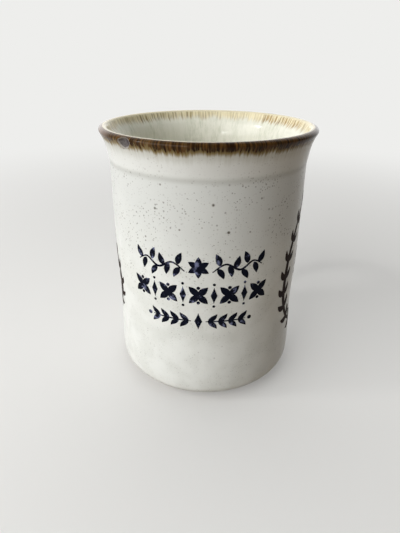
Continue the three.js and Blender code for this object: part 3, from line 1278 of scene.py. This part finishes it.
class GlazeField:
    """The nodes that colour a fired glaze by where the point lies and how the iron ran there."""

    # The sides that iron lay differently on, in degrees from the front: left, near, right, rear and calm.
    SIDES = (-75, 38, 123, 217, 160)
    # What pits and iron add to the relief of the orange peel.
    PIT = -0.8
    IRON_EDGE = 0.6
    # How much the slow rise and fall counts next to the ragged edge.
    GROUP_WEIGHT = 0.6
    DARK_STOPS = (0.4, 0.66)
    DROP_ROUGHNESS = 0.78
    THREAD_SOFTNESS = 0.2
    THREAD_STRENGTH = 0.8
    # How far out a spot and a speck are full, and how far out the spot ends, as shares of their sizes.
    SPOT_CORE = 0.25
    SPOT_END = 0.62
    SPECK_CORE = 0.45
    SPOTS = (
        BurntSpot(-23.5, 77.0, 1.1, 0.95),
        BurntSpot(6.5, 79.5, 1.2, 1.0),
        BurntSpot(31.5, 80.5, 1.0, 0.85),
        BurntSpot(14.5, 70.5, 1.15, 1.0),
        BurntSpot(14.0, 85.5, 1.0, 0.8),
        BurntSpot(12.5, 77.0, 0.9),
        BurntSpot(8.5, 73.0, 0.8),
        BurntSpot(26.0, 70.0, 0.8),
        BurntSpot(36.5, 76.5, 0.9),
        BurntSpot(37.5, 73.5, 0.8),
        BurntSpot(-13.0, 78.5, 0.8),
        BurntSpot(-36.0, 83.0, 0.7),
    )
    # Lone specks up to 0.8 mm across lie all over, and two sorts of pepper up to 0.5 mm in drifts.
    LONE = Specks(3.0, 0.54, 0.3, 0.7)
    PEPPER = (Specks(1.4, 0.43, 0.27, 0.62), Specks(0.75, 0.33, 0.15, 0.58))

    def __init__(self, glaze: FiredGlaze, add: Adder, space: MugSpace) -> None:
        """Measures how deep in the cup the point lies and how the iron ran.

        Args:
            glaze: the glaze's colours.
            add: adds a node to the material.
            space: where the point is.
        """
        self.glaze = glaze
        self.add = add
        self.space = space
        # Millimetres inwards from the middle of the wall, which ends in the lip's crest.
        s = CupSizes()
        wall = s.neck_radius - s.wall / 2
        middle = add(Kind.EASE, space.height, GlazeSizes.LEANS_ABOVE, s.height, wall, s.crest_radius)
        self.depth = add(Kind.MATH, middle, space.radius, operation="SUBTRACT")
        self.run = self._run()

    def look(self) -> dict[str, Value]:
        """Adds the glaze's colour, gloss and relief.

        Returns:
            What goes into each input of the surface.
        """
        add, space = self.add, self.space
        inside = add(Kind.EASE, self.depth, *Share.INSIDE, **SMOOTH)
        above_floor = add(Kind.EASE, space.height, *Share.ABOVE_FLOOR)
        inside = add(Kind.MATH, inside, above_floor, operation="MULTIPLY")
        outer, iron = self._outside()
        colour = self._crest_line_and_highlight(add(Kind.MIX, inside, outer, self._inside(), **COLOURS))
        glossy = add(Kind.MATH, inside, iron, operation="MAXIMUM")
        colour, pits = self._specks(colour, glossy)
        # Satin on the white, glossy inside and on the iron, with faint patches.
        patches = add(Kind.NOISE, space.place, 1 / GlazeSizes.PATCH, 3.0)
        satin = add(Kind.EASE, patches, *Share.SATIN)
        # Orange peel, pits at the specks and the raised edge of the run iron.
        peel = add(Kind.NOISE, space.place, 1 / GlazeSizes.PEEL, 2.0)
        sunk = add(Kind.MATH, pits, self.PIT, peel, operation="MULTIPLY_ADD")
        raised = add(Kind.MATH, iron, self.IRON_EDGE, sunk, operation="MULTIPLY_ADD")
        relief = {"Height": raised, "Distance": GlazeSizes.PEEL_RELIEF * MM, "Strength": 1.0}
        return {
            "Base Color": colour,
            "Roughness": add(Kind.MIX, glossy, satin, self.glaze.gloss),
            "IOR": self.glaze.ior,
            "Normal": add(Kind.BUMP, named=relief),
        }

    def _run(self) -> IronRun:
        """Measures the iron's runs.

        Returns:
            The fall from the rim, the way past the runs' ends, and how far the point is on each side.
        """
        add, space = self.add, self.space
        fall = add(Kind.MATH, CupSizes.height, space.height, operation="SUBTRACT")
        # Each run ends at its own height: a fine ragged edge on a slow rise and fall.
        fine = add(Kind.NOISE, space.runs, 1 / GlazeSizes.RUN, 3.0)
        wide = add(Kind.NOISE, space.runs, 1 / GlazeSizes.RUN_GROUP, 1.0)
        edge = add(Kind.MATH, wide, self.GROUP_WEIGHT, fine, operation="MULTIPLY_ADD")
        reach = add(Kind.EASE, edge, *Share.REACH)
        past = add(Kind.MATH, fall, reach, operation="SUBTRACT")
        ways = (around(1.0, math.radians(azimuth), 0.0).tolist() for azimuth in self.SIDES)
        sides = [add(Kind.VECTOR, space.spoke, way, operation="DOT_PRODUCT") for way in ways]
        short = add(Kind.EASE, sides[0], *Share.SHORT_ON_LEFT)
        past = add(Kind.MATH, past, short, operation="ADD")
        return IronRun(fall, past, *sides)

    def _outside(self) -> tuple[Socket, Socket]:
        """Adds the white outside with the iron that ran down it from the lip.

        Returns:
            The colour, and how much dark iron lies there.
        """
        add, space, run, glaze = self.add, self.space, self.run, self.glaze
        # The grey body shows through the tin white in clouds about 12 mm across.
        # The upper wall is painted greyer: painted shade, as the lower wall catches more light from the
        # floor.
        cloud = add(Kind.NOISE, space.place, 1 / GlazeSizes.CLOUD, 6.0)
        cloud = add(Kind.EASE, cloud, *Share.CLOUD, **SMOOTH)
        white = add(Kind.MIX, cloud, linear(glaze.white), linear(glaze.white_cloud), **COLOURS)
        painted_top_shade = add(Kind.NOISE, space.place, 1 / GlazeSizes.PAINTED_TOP_SHADE, 2.0)
        painted_top_shade = add(Kind.MATH, painted_top_shade, GlazeSizes.PAINTED_TOP_SHADE_RISE, space.height, operation="MULTIPLY_ADD")
        painted_top_shade = add(Kind.EASE, painted_top_shade, *Share.PAINTED_TOP_SHADE, **SMOOTH)
        # The second dip lies over the first down to the shoulder and is painted lighter: partly its thicker
        # glaze, partly painted light that the flare catches from the floor. A soft grey line under the
        # shoulder's step is painted shadow.
        wave = add(Kind.NOISE, space.runs, 1 / GlazeSizes.LAP_WAVE)
        wave = add(Kind.MATH, wave, GlazeSizes.LAP_WAVE_RISE, space.height, operation="MULTIPLY_ADD")
        lap_with_painted_light, below, above = (
            add(Kind.EASE, wave, *share, **SMOOTH)
            for share in (Share.LAP_WITH_PAINTED_LIGHT, Share.PAINTED_SHADOW_BELOW_LAP, Share.PAINTED_SHADOW_ABOVE_LAP)
        )
        # The grey line is painted shadow under the shoulder's step.
        line = add(Kind.MATH, below, above, operation="MULTIPLY")
        # From the white upwards: a faint grey halo, a khaki stain about 1 mm deep, then the dark iron.
        halo, stain, dark = (
            add(Kind.EASE, run.past, *share, **SMOOTH) for share in (Share.HALO, Share.STAIN, Share.IRON)
        )
        for share, over in (
            (painted_top_shade, glaze.upper),
            (lap_with_painted_light, glaze.lap_and_painted_light),
            (line, glaze.thin),
            (halo, glaze.halo),
            (stain, glaze.stain),
        ):
            white = add(Kind.MIX, share, white, linear(over), **COLOURS)
        stops = tuple(zip(self.DARK_STOPS, (glaze.iron_dark, glaze.iron_brown)))
        tone = add(Kind.RAMP, add(Kind.NOISE, space.runs, 1 / GlazeSizes.DARK_RUN), stops=stops)
        # High on the lip's left end, where the light falls, the iron is painted a paler dull red with a few
        # dark runs:
        # this is painted light.
        painted_light_left = add(Kind.EASE, run.left, *Share.PAINTED_LIGHT_ON_LEFT, **SMOOTH)
        high = add(Kind.EASE, run.fall, *Share.HIGH_ON_LIP, **SMOOTH)
        painted_light_left = add(Kind.MATH, painted_light_left, high, operation="MULTIPLY")
        tone = add(Kind.MIX, painted_light_left, tone, linear(glaze.iron_red_painted_light), **COLOURS)
        # Pale runs 0.4 mm wide part the dark ones, more so downwards and to the left.
        pale = add(Kind.NOISE, space.runs, 1 / GlazeSizes.PALE_RUN, 1.0)
        pale = add(Kind.EASE, pale, *Share.PALE_RUN, **SMOOTH)
        lower = add(Kind.EASE, run.past, *Share.PALE_BELOW, **SMOOTH)
        side = add(Kind.EASE, run.left, *Share.PALE_ON_LEFT, **SMOOTH)
        for share in (lower, side):
            pale = add(Kind.MATH, pale, share, operation="MULTIPLY")
        kept = add(Kind.MATH, 1.0, pale, operation="SUBTRACT")
        dark = add(Kind.MATH, dark, kept, operation="MULTIPLY")
        return add(Kind.MIX, dark, white, tone, **COLOURS), dark

    def _inside(self) -> Socket:
        """Adds the greenish liner under a cream band with olive and amber runs.

        Returns:
            The colour.
        """
        add, space, run, glaze = self.add, self.space, self.run, self.glaze
        # The liner ran down in soft drops 1 to 2 mm wide.
        drop = add(Kind.NOISE, space.drops, 1 / GlazeSizes.DROP, 6.0, self.DROP_ROUGHNESS)
        drop = add(Kind.EASE, drop, *Share.DROP, **SMOOTH)
        group = add(Kind.NOISE, space.runs, 1 / GlazeSizes.DROP_GROUP)
        group = add(Kind.EASE, group, *Share.DROP_GROUP, **SMOOTH)
        drop = add(Kind.MATH, drop, group, operation="MULTIPLY")
        liner = add(Kind.MIX, drop, linear(glaze.liner), linear(glaze.liner_cloud), **COLOURS)
        band = add(Kind.EASE, run.past, *Share.CREAM, **SMOOTH)
        liner = add(Kind.MIX, band, liner, linear(glaze.cream), **COLOURS)
        # The iron broke into runs 0.5 mm wide, in patches at the back and in a row on the right.
        row = add(Kind.EASE, run.right, *Share.ROW_ON_RIGHT, **SMOOTH)
        rear = add(Kind.EASE, run.rear, *Share.THREADS_AT_REAR, **SMOOTH)
        calm = add(Kind.EASE, run.calm, *Share.CALM, **SMOOTH)
        patch = add(Kind.NOISE, space.runs, 1 / GlazeSizes.THREAD_PATCH, 1.0)
        patch = add(Kind.EASE, patch, *Share.THREAD_PATCH, **SMOOTH)
        for share in (rear, calm):
            patch = add(Kind.MATH, patch, share, operation="MULTIPLY")
        patch = add(Kind.MATH, patch, row, operation="MAXIMUM")
        # Where it lies thick the runs stand close together.
        first = add(Kind.EASE, row, *Share.THREAD_START)
        last = add(Kind.MATH, first, self.THREAD_SOFTNESS, operation="ADD")
        thread = add(Kind.NOISE, space.runs, 1 / GlazeSizes.THREAD, 2.0)
        thread = add(Kind.EASE, thread, first, last, 0.0, self.THREAD_STRENGTH, **SMOOTH)
        top = add(Kind.EASE, run.fall, *Share.THREAD_TOP, **SMOOTH)
        end = add(Kind.EASE, run.past, *Share.THREAD_END, **SMOOTH)
        for share in (patch, top, end):
            thread = add(Kind.MATH, thread, share, operation="MULTIPLY")
        thick = add(Kind.NOISE, space.runs, 1 / GlazeSizes.THICK_THREAD)
        thick = add(Kind.EASE, thick, *Share.THICK_THREAD, **SMOOTH)
        warm = add(Kind.MIX, row, linear(glaze.olive), linear(glaze.amber), **COLOURS)
        warm = add(Kind.MIX, thick, warm, linear(glaze.burnt), **COLOURS)
        return add(Kind.MIX, thread, liner, warm, **COLOURS)

    def _crest_line_and_highlight(self, colour: Socket) -> Socket:
        """Adds the pale line on the crest: partly paler glaze where the iron has run off to both sides,
        partly a painted highlight along the crest.

        Args:
            colour: the colour under it.

        Returns:
            The colour with the line.
        """
        add = self.add
        line = add(Kind.EASE, self.depth, *Share.CREST_OUTSIDE, **SMOOTH)
        inner = add(Kind.EASE, self.depth, *Share.CREST_INSIDE, **SMOOTH)
        # It is narrow and brown on the near right, where the lip was dipped deepest.
        deep = add(Kind.EASE, self.run.near, *Share.CREST_NEAR, **SMOOTH)
        high = add(Kind.EASE, self.space.height, *Share.CREST_ABOVE, **SMOOTH)
        for share in (inner, deep, high):
            line = add(Kind.MATH, line, share, operation="MULTIPLY")
        return add(Kind.MIX, line, colour, linear(self.glaze.crest), **COLOURS)

    def _specks(self, colour: Socket, cover: Socket) -> tuple[Socket, Socket]:
        """Adds the iron specks from the body that burnt through the glaze.

        Args:
            colour: the colour under the specks.
            cover: how far iron or the liner hides them here.

        Returns:
            The colour with the specks in it, and how far each is sunk.
        """
        add, space = self.add, self.space
        pits: Value = 0.0
        for spot in self.SPOTS:
            off = add(Kind.VECTOR, space.place, spot.centre, operation="DISTANCE")
            ends = (spot.size * self.SPOT_CORE, spot.size * self.SPOT_END)
            burnt = add(Kind.EASE, off, *ends, spot.strength, 0.0, **SMOOTH)
            pits = add(Kind.MATH, burnt, pits, operation="MAXIMUM")
        # The thinner glaze of the upper wall lets more through, in drifts, and the second dip hides them.
        upper = add(Kind.EASE, space.height, *Share.SPECKS_ABOVE, **SMOOTH)
        hidden = add(Kind.EASE, space.height, *Share.SPECKS_HIDDEN, **SMOOTH)
        upper = add(Kind.MATH, upper, hidden, operation="MULTIPLY")
        drift = add(Kind.NOISE, space.place, 1 / GlazeSizes.CLOUD, 2.0)
        drift = add(Kind.EASE, drift, *Share.SPECK_DRIFT, **SMOOTH)
        drift = add(Kind.MATH, drift, upper, operation="MULTIPLY")
        for specks, share in ((self.LONE, upper), *((pepper, drift) for pepper in self.PEPPER)):
            cell = add(Kind.CELLS, space.place, 1 / specks.pitch)
            chance = add(Kind.CHANNELS, cell.node.outputs["Color"])
            size = add(Kind.EASE, chance, specks.rarity, 1.0, 0.0, specks.largest / specks.pitch)
            core = add(Kind.MATH, size, self.SPECK_CORE, operation="MULTIPLY")
            speck = add(Kind.EASE, cell, core, size, specks.strength, 0.0, **SMOOTH)
            speck = add(Kind.MATH, speck, share, operation="MULTIPLY")
            pits = add(Kind.MATH, speck, pits, operation="MAXIMUM")
        bare = add(Kind.MATH, 1.0, cover, operation="SUBTRACT")
        pits = add(Kind.MATH, pits, bare, operation="MULTIPLY")
        return add(Kind.MIX, pits, colour, linear(self.glaze.speck), **COLOURS), pits


@dataclass(frozen=True)
class BareClay(Finish):
    """Reduction-fired stoneware left unglazed: matte, gritty and finely speckled with iron."""

    pale: str
    dark: str
    grit: str = "5c4a3a"
    cloud: float = 5.0
    cloud_stops: tuple[float, float] = (0.38, 0.62)
    cloud_detail: tuple[float, float] = (6.0, 0.65)
    grit_pitch: float = 1.4
    grit_rareness: float = 0.5
    grit_largest: float = 0.3
    grit_strength: float = 0.7
    sand: float = 0.5
    sand_detail: float = 4.0
    ring_pitch: float = 0.9
    ring_share: float = 0.25
    roughness: float = 0.85
    ior: float = 1.5
    relief: float = 0.08

    def look(self, add: Adder, space: MugSpace) -> dict[str, Value]:
        """Adds the clay's own nodes.

        Args:
            add: adds a node to the material.
            space: where the point is.

        Returns:
            What goes into each input of the surface.
        """
        cloud = add(Kind.NOISE, space.place, 1 / self.cloud, *self.cloud_detail)
        body = add(Kind.RAMP, cloud, stops=tuple(zip(self.cloud_stops, (self.dark, self.pale))))
        # Grog of 0.3 to 0.6 mm.
        grain = add(Kind.CELLS, space.place, 1 / self.grit_pitch)
        chance = add(Kind.CHANNELS, grain.node.outputs["Color"])
        size = add(Kind.EASE, chance, self.grit_rareness, 1.0, 0.0, self.grit_largest)
        grain = add(Kind.EASE, grain, 0.0, size, self.grit_strength, 0.0)
        colour = add(Kind.MIX, grain, body, linear(self.grit), **COLOURS)
        # The turning tool leaves rings about 0.9 mm apart in the sandy face.
        ring = add(Kind.MATH, space.radius, 2 * math.pi / self.ring_pitch, operation="MULTIPLY")
        ring = add(Kind.MATH, ring, operation="SINE")
        sand = add(Kind.NOISE, space.place, 1 / self.sand, self.sand_detail)
        rough = add(Kind.MATH, ring, self.ring_share, sand, operation="MULTIPLY_ADD")
        relief = add(Kind.BUMP, named={"Height": rough, "Distance": self.relief * MM, "Strength": 1.0})
        return {"Base Color": colour, "Roughness": self.roughness, "IOR": self.ior, "Normal": relief}


@dataclass(frozen=True)
class TransferInk(Finish):
    """Ceramic transfer ink that sank into the glaze: nearly black, with worn and washed-out places."""

    full: str
    washed: str
    worn: float
    patch: float = 2.6
    patch_detail: tuple[float, float] = (3.0, 0.6)
    patch_edge: float = 0.16
    washed_most: float = 0.9
    roughness: float = 0.5
    ior: float = 1.2
    mirror: float = 0.1

    def look(self, add: Adder, space: MugSpace) -> dict[str, Value]:
        """Adds the ink's own nodes.

        Args:
            add: adds a node to the material.
            space: where the point is.

        Returns:
            What goes into each input of the surface.
        """
        # Worn patches about 3 mm across, where the blue or brown under the black shows.
        wash = add(Kind.NOISE, space.place, 1 / self.patch, *self.patch_detail)
        washed_out = self.worn + self.patch_edge
        wash = add(Kind.EASE, wash, self.worn, washed_out, 0.0, self.washed_most, **SMOOTH)
        colour = add(Kind.MIX, wash, linear(self.full), linear(self.washed), **COLOURS)
        return {
            "Base Color": colour,
            "Roughness": self.roughness,
            "IOR": self.ior,
            "Specular IOR Level": self.mirror,
        }


def front_strokes() -> list[Stroke]:
    """Draws three rows of border ornament for the front of the mug.

    Returns:
        Their strokes, right and up of the middle.
    """
    strokes: list[Stroke] = []
    half: list[Stroke] = []
    # Top row: a rosette between two running sprigs.
    for petal in range(6):
        strokes.append(Pen.leaf((0, 15.0), 60 * petal, 3.9, 2.2))
    stem = [(4.6, 13.4), (9.0, 16.2), (14.0, 13.8), (18.5, 16.4), (22.0, 14.6)]
    half.append(Pen.line(stem, 0.35, 0.75))
    for x, z, lean in ((7.0, 15.6, -18), (11.8, 14.6, 22), (16.4, 15.8, -14), (20.4, 15.4, 30)):
        half.append(Pen.leaf((x, z), lean, 4.6, 2.2, 0.3))
    for x, z, lean in ((6.2, 14.6, 150), (10.0, 15.6, 166), (14.4, 13.8, 148), (18.8, 15.8, 164)):
        half.append(Pen.leaf((x, z), lean, 4.4, 2.1, -0.3))
    # Middle row: flowers and lozenges in turn.
    for x in (0.0, 10.6, 21.2):
        flower = [Pen.leaf((x, 4.5), 45 + 90 * petal, 4.6, 2.5) for petal in range(4)]
        flower += [Pen.bead((x + dx, 4.5 + dz), 0.62) for dx, dz in ((0, 2.9), (0, -2.9))]
        (half if x else strokes).extend(flower)
    for x in (5.3, 15.9):
        half.append(Pen.lozenge((x, 4.5), 2.3, 6.4))
        half += [Pen.bead((x, 4.5 + dz), 0.5) for dz in (4.3, -4.3)]
    # Bottom row: paired leaves that point outwards from a lozenge.
    strokes.append(Pen.lozenge((0, -6.2), 2.8, 7.0))
    half.append(Pen.line([(2.6, -6.2), (9.0, -6.2), (17.0, -6.2)], 0.3, 0.6))
    for x in (3.4, 7.0, 10.6, 14.2):
        half.append(Pen.leaf((x, -6.0), 48, 4.3, 1.9, 0.35))
        half.append(Pen.leaf((x, -6.4), 132, 4.3, 1.9, -0.35))
    half.append(Pen.bead((18.6, -6.2), 0.8))
    return [*strokes, *half, *(stroke.mirrored() for stroke in half)]


@dataclass(frozen=True)
class Wreath:
    """An open wreath of two leafy branches: its size in millimetres, and the pairs of leaves on each."""

    width: float
    height: float
    pairs: int

    # Points of the right stem, as shares of how far it reaches to the side and up.
    STEM = ((0.08, -1.0), (0.62, -0.86), (0.97, -0.4), (1.0, 0.18), (0.72, 0.7), (0.36, 0.98))
    STEM_WIDTHS = (0.9, 2.2)
    # The leaves reach this far past the stem.
    ROOM_ASIDE = 4.0
    ROOM_ABOVE = 2.5
    # Shares of the stem where the first leaves are and over which all of them are spread.
    FIRST_PAIR = 0.10
    PAIRS_SPREAD = 0.88
    LEAF_LEAST = 2.6
    LEAF_PER_GAP = 0.6
    LEAF_WIDTH = 0.42
    LEAF_TAPER = 0.4
    # How each leaf of a pair leans off the stem in degrees, its share of the length, and how it bows.
    PAIR = ((38, 1.0, 0.7), (-40, 0.92, -0.7))
    KNOT = (2.6, 5.6)
    BEAD_ABOVE_KNOT = 4.2
    BEAD = 1.0

    def strokes(self) -> list[Stroke]:
        """Draws the wreath.

        Returns:
            Its strokes, round its middle.
        """
        wide, high = self.width / 2 - self.ROOM_ASIDE, self.height / 2 - self.ROOM_ABOVE
        stem = Pen.line([(x * wide, y * high) for x, y in self.STEM], *self.STEM_WIDTHS)
        half = [stem]
        longest = self.LEAF_PER_GAP * lengths_along(stem.spine)[-1] / self.pairs + self.LEAF_LEAST
        for k in range(self.pairs):
            share = self.FIRST_PAIR + self.PAIRS_SPREAD * k / (self.pairs - 1)
            i = int(share * (len(stem.spine) - 2))
            base, ahead = stem.spine[i], stem.spine[i + 1] - stem.spine[i]
            lean = math.degrees(math.atan2(ahead[0], ahead[1]))
            size = longest * (1 - self.LEAF_TAPER * share)
            for off, part, bend in self.PAIR:
                half.append(Pen.leaf(base, lean + off, size * part, self.LEAF_WIDTH * size, bend))
        knot = [Pen.lozenge((0, -high), *self.KNOT), Pen.bead((0, self.BEAD_ABOVE_KNOT - high), self.BEAD)]
        return [*knot, *half, *(stroke.mirrored() for stroke in half)]


@dataclass(frozen=True)
class Rosette:
    """A round flower of pointed petals with a ring of beads: its radius in millimetres, and its petals."""

    radius: float
    petals: int

    # Shares of the radius.
    PETAL_WIDTH = 0.42
    RING = 0.95
    BEAD = 0.11

    def strokes(self) -> list[Stroke]:
        """Draws the rosette.

        Returns:
            Its strokes, round its middle.
        """
        size, step = self.radius, 360 / self.petals
        petals = [Pen.leaf((0, 0), step * k, size, self.PETAL_WIDTH * size) for k in range(self.petals)]
        ring, bead = self.RING * size, self.BEAD * size
        turns = [math.radians(step * (k + 0.5)) for k in range(self.petals)]
        beads = [Pen.bead((ring * math.sin(turn), ring * math.cos(turn)), bead) for turn in turns]
        return [*petals, *beads]


@dataclass(frozen=True)
class View:
    """The photograph's view of the mug, in millimetres and degrees about the cup's axis."""

    azimuth: float = 4.5
    distance: float = 149.82
    height: float = 119.11
    right: float = -2.615
    pitch: float = 27.852
    roll: float = 0.384
    focal_px: float = 400.0
    frame_height: float = 533.0
    sensor: float = 36.0
    nearest: float = 10.0
    farthest: float = 20000.0


@dataclass(frozen=True)
class Lamp:
    """A square lamp that faces the mug: degrees about the cup's axis, metres and watts."""

    name: str
    azimuth: float
    elevation: float
    size: float
    watts: float


class Studio:
    """A plain pale floor and backdrop, lamps on the left and the camera."""

    BACKDROP = "eeeeec"
    FLOOR = "dfdedb"
    FLOOR_UNLIT = "7d6748"
    FLOOR_SIZE = 3.0
    FLOOR_DROP = 0.02
    # From here to there the floor turns into the backdrop, in metres from the mug.
    FLOOR_FADE = (0.12, 0.5)
    FLOOR_GLOW = 0.25
    LAMP_DISTANCE = 0.9
    # The wide one lights the mug, and the small ones give the gloss its sharp glints.
    LAMPS = (
        Lamp("softbox", -48.0, 26.0, 0.8, 7.9),
        Lamp("front_pane", -20.0, 12.0, 0.08, 0.6),
        Lamp("left_pane", -78.0, 36.0, 0.1, 1.3),
    )
    ROOM_BRIGHT_WAY = (-0.1, 0.96, 0.25)
    # From here to there, as the cosine of the angle from that way, dim light turns to bright.
    ROOM_TURN = (0.2, 0.95)
    ROOM_DIM = 0.14
    ROOM_BRIGHT = 1.5

    def __init__(self, workshop: Workshop, view: View) -> None:
        """Keeps where the cup stands.

        Args:
            workshop: knows the cup's axis.
            view: the camera's place.
        """
        self.axis = workshop.axis
        self.view = view

    def camera(self) -> None:
        """Places the camera at the photograph's viewing angle."""
        v = self.view
        turn, pitch, roll = (math.radians(a) for a in (v.azimuth, v.pitch, v.roll))
        back = Vector(around(1.0, turn, 0.0))
        right = Vector((math.cos(turn), math.sin(turn), 0))
        up = Vector((0, 0, 1))
        ahead = -math.cos(pitch) * back - math.sin(pitch) * up
        level = -math.sin(pitch) * back + math.cos(pitch) * up
        x = math.cos(roll) * right + math.sin(roll) * level
        y = -math.sin(roll) * right + math.cos(roll) * level
        data = bpy.data.cameras.new("camera")
        data.sensor_width = v.sensor
        data.lens = v.focal_px / v.frame_height * v.sensor
        data.clip_start, data.clip_end = v.nearest * MM, v.farthest * MM
        camera = bpy.data.objects.new("camera", data)
        place = self.axis + (back * v.distance + right * v.right + up * v.height) * MM
        camera.matrix_world = Matrix.Translation(place) @ Matrix((x, y, -ahead)).transposed().to_4x4()
        bpy.context.scene.collection.objects.link(camera)
        bpy.context.scene.camera = camera

    def floor(self) -> None:
        """Lays a pale matt floor that fades into the backdrop and throws little light back."""
        mesh = bpy.data.meshes.new("floor")
        half, low = self.FLOOR_SIZE, -self.FLOOR_DROP * MM
        corners = [(-half, -half, low), (half, -half, low), (half, half, low), (-half, half, low)]
        mesh.from_pydata(corners, [], [(0, 1, 2, 3)])
        floor = bpy.data.objects.new("floor", mesh)
        bpy.context.scene.collection.objects.link(floor)
        material, tree = new_material("matt_paper")
        add = partial(add_node, tree)
        rays = add(Kind.RAYS).node.outputs
        seen = add(Kind.MATH, rays["Is Camera Ray"], rays["Is Glossy Ray"], operation="MAXIMUM")
        seen = add(Kind.MATH, seen, rays["Is Transmission Ray"], operation="MAXIMUM")
        matt = add(Kind.MATT, add(Kind.MIX, seen, linear(self.FLOOR_UNLIT), linear(self.FLOOR), **COLOURS))
        glow = add(Kind.GLOW, linear(self.BACKDROP), 1.0)
        far = add(Kind.VECTOR, add(Kind.PLACE).node.outputs["Object"], operation="LENGTH")
        fade = add(Kind.EASE, far, *self.FLOOR_FADE, self.FLOOR_GLOW, 1.0, **SMOOTH)
        fade = add(Kind.MATH, fade, seen, operation="MULTIPLY")
        add(Kind.OUTPUT, add(Kind.BLEND, fade, matt, glow))
        mesh.materials.append(material)

    def lamps(self) -> None:
        """Hangs the lamps mostly on the left, where the photograph's light comes from."""
        middle = self.axis + Vector((0, 0, CupSizes.height / 2)) * MM
        for lamp in self.LAMPS:
            data = bpy.data.lights.new(lamp.name, "AREA")
            data.shape, data.size, data.energy = "SQUARE", lamp.size, lamp.watts
            rise = math.radians(lamp.elevation)
            way = Vector(around(math.cos(rise), math.radians(lamp.azimuth), math.sin(rise)))
            hung = bpy.data.objects.new(lamp.name, data)
            turned_back = way.to_track_quat("Z", "Y").to_matrix().to_4x4()
            hung.matrix_world = Matrix.Translation(middle + way * self.LAMP_DISTANCE) @ turned_back
            bpy.context.scene.collection.objects.link(hung)

    def room(self) -> None:
        """Surrounds the mug with soft light: dim on the camera's side, bright behind and above."""
        world = bpy.data.worlds.new("studio")
        bpy.context.scene.world = world
        world.use_nodes = True
        world.node_tree.nodes.clear()
        add = partial(add_node, world.node_tree)
        bright = add(Kind.VECTOR, add(Kind.PLACE), self.ROOM_BRIGHT_WAY, operation="DOT_PRODUCT")
        level = add(Kind.EASE, bright, *self.ROOM_TURN, self.ROOM_DIM, self.ROOM_BRIGHT, **SMOOTH)
        lit = add(Kind.SKY, (1.0, 1.0, 1.0, 1.0), level)
        wall = add(Kind.SKY, linear(self.BACKDROP), 1.0)
        seen = add(Kind.RAYS).node.outputs["Is Camera Ray"]
        add(Kind.WORLD, add(Kind.BLEND, seen, lit, wall))


def main() -> None:
    """Builds the mug's looks, piece by piece."""
    logging.basicConfig(level=logging.INFO, format="%(name)s %(message)s")
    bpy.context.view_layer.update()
    workshop = Workshop()
    outline = CupOutline(CupSizes())

    studio = Studio(workshop, View())
    studio.camera()
    studio.floor()
    studio.lamps()
    studio.room()

    axis = workshop.axis
    white = FiredGlaze("tin_white_stoneware_glaze", ior=1.28).material(axis)
    iron = FiredGlaze("iron_oxide_glaze", ior=1.17).material(axis)
    liner = FiredGlaze("ash_liner_glaze", ior=1.3).material(axis)
    clay = BareClay("bare_stoneware", "a89c8c", "8f8375").material(axis)
    slip = BareClay("joining_slip", "b3a899", "9c9083").material(axis)
    broken_clay = BareClay("broken_stoneware", "6b6866", "352a30", "2c2826", 1.4).material(axis)
    broken_glaze = BareClay("broken_glaze", "a19d95", "88847d", "6c6a66").material(axis)
    blue = TransferInk("blue_black_transfer", "111420", "7d84a6", 0.55).material(axis)
    brown = TransferInk("brown_black_transfer", "22120c", "5d4a3c", 0.68).material(axis)

    cup = Cup(workshop, outline)
    chip = LipChip(workshop, outline, ChipSizes())
    body = cup.clay(clay)
    chip.cut(body, broken_clay)
    workshop.keep(body, Slot.CLAY, "body")
    for coat, name, finish, slot in (
        (Coat.WALL, "glazed_wall", white, Slot.OUTER),
        (Coat.LIP, "iron_lip", iron, Slot.IRON),
        (Coat.LINER, "glazed_inside", liner, Slot.LINER),
    ):
        skin = cup.coat(coat, name, finish)
        if coat is not Coat.LINER:
            chip.cut(skin, broken_glaze)
        workshop.keep(skin, slot, coat.value)
    handle = StrapHandle(workshop, outline, HandleSizes()).build(white)
    workshop.keep(handle, Slot.OUTER, "glaze_handle")
    for node, finish in (("handle", clay), ("slip_joint_upper", slip), ("slip_joint_lower", slip)):
        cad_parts[node].data.materials.clear()
        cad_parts[node].data.materials.append(finish)

    prints = (
        ("front_ornament", -0.5, 43.3, front_strokes(), blue),
        ("right_wreath", 91.0, 47.5, Wreath(49.0, 58.0, 9).strokes() + Rosette(9.5, 8).strokes(), brown),
        ("left_wreath", -87.0, 42.0, Wreath(38.0, 33.0, 7).strokes() + Rosette(6.0, 6).strokes(), brown),
    )
    for name, azimuth, height, strokes, ink in prints:
        made = Ornament(workshop, outline, azimuth, height).build(name, strokes, ink)
        workshop.keep(made, None)

    bpy.context.scene.view_settings.view_transform = "Standard"


if __name__ == "__main__":
    main()
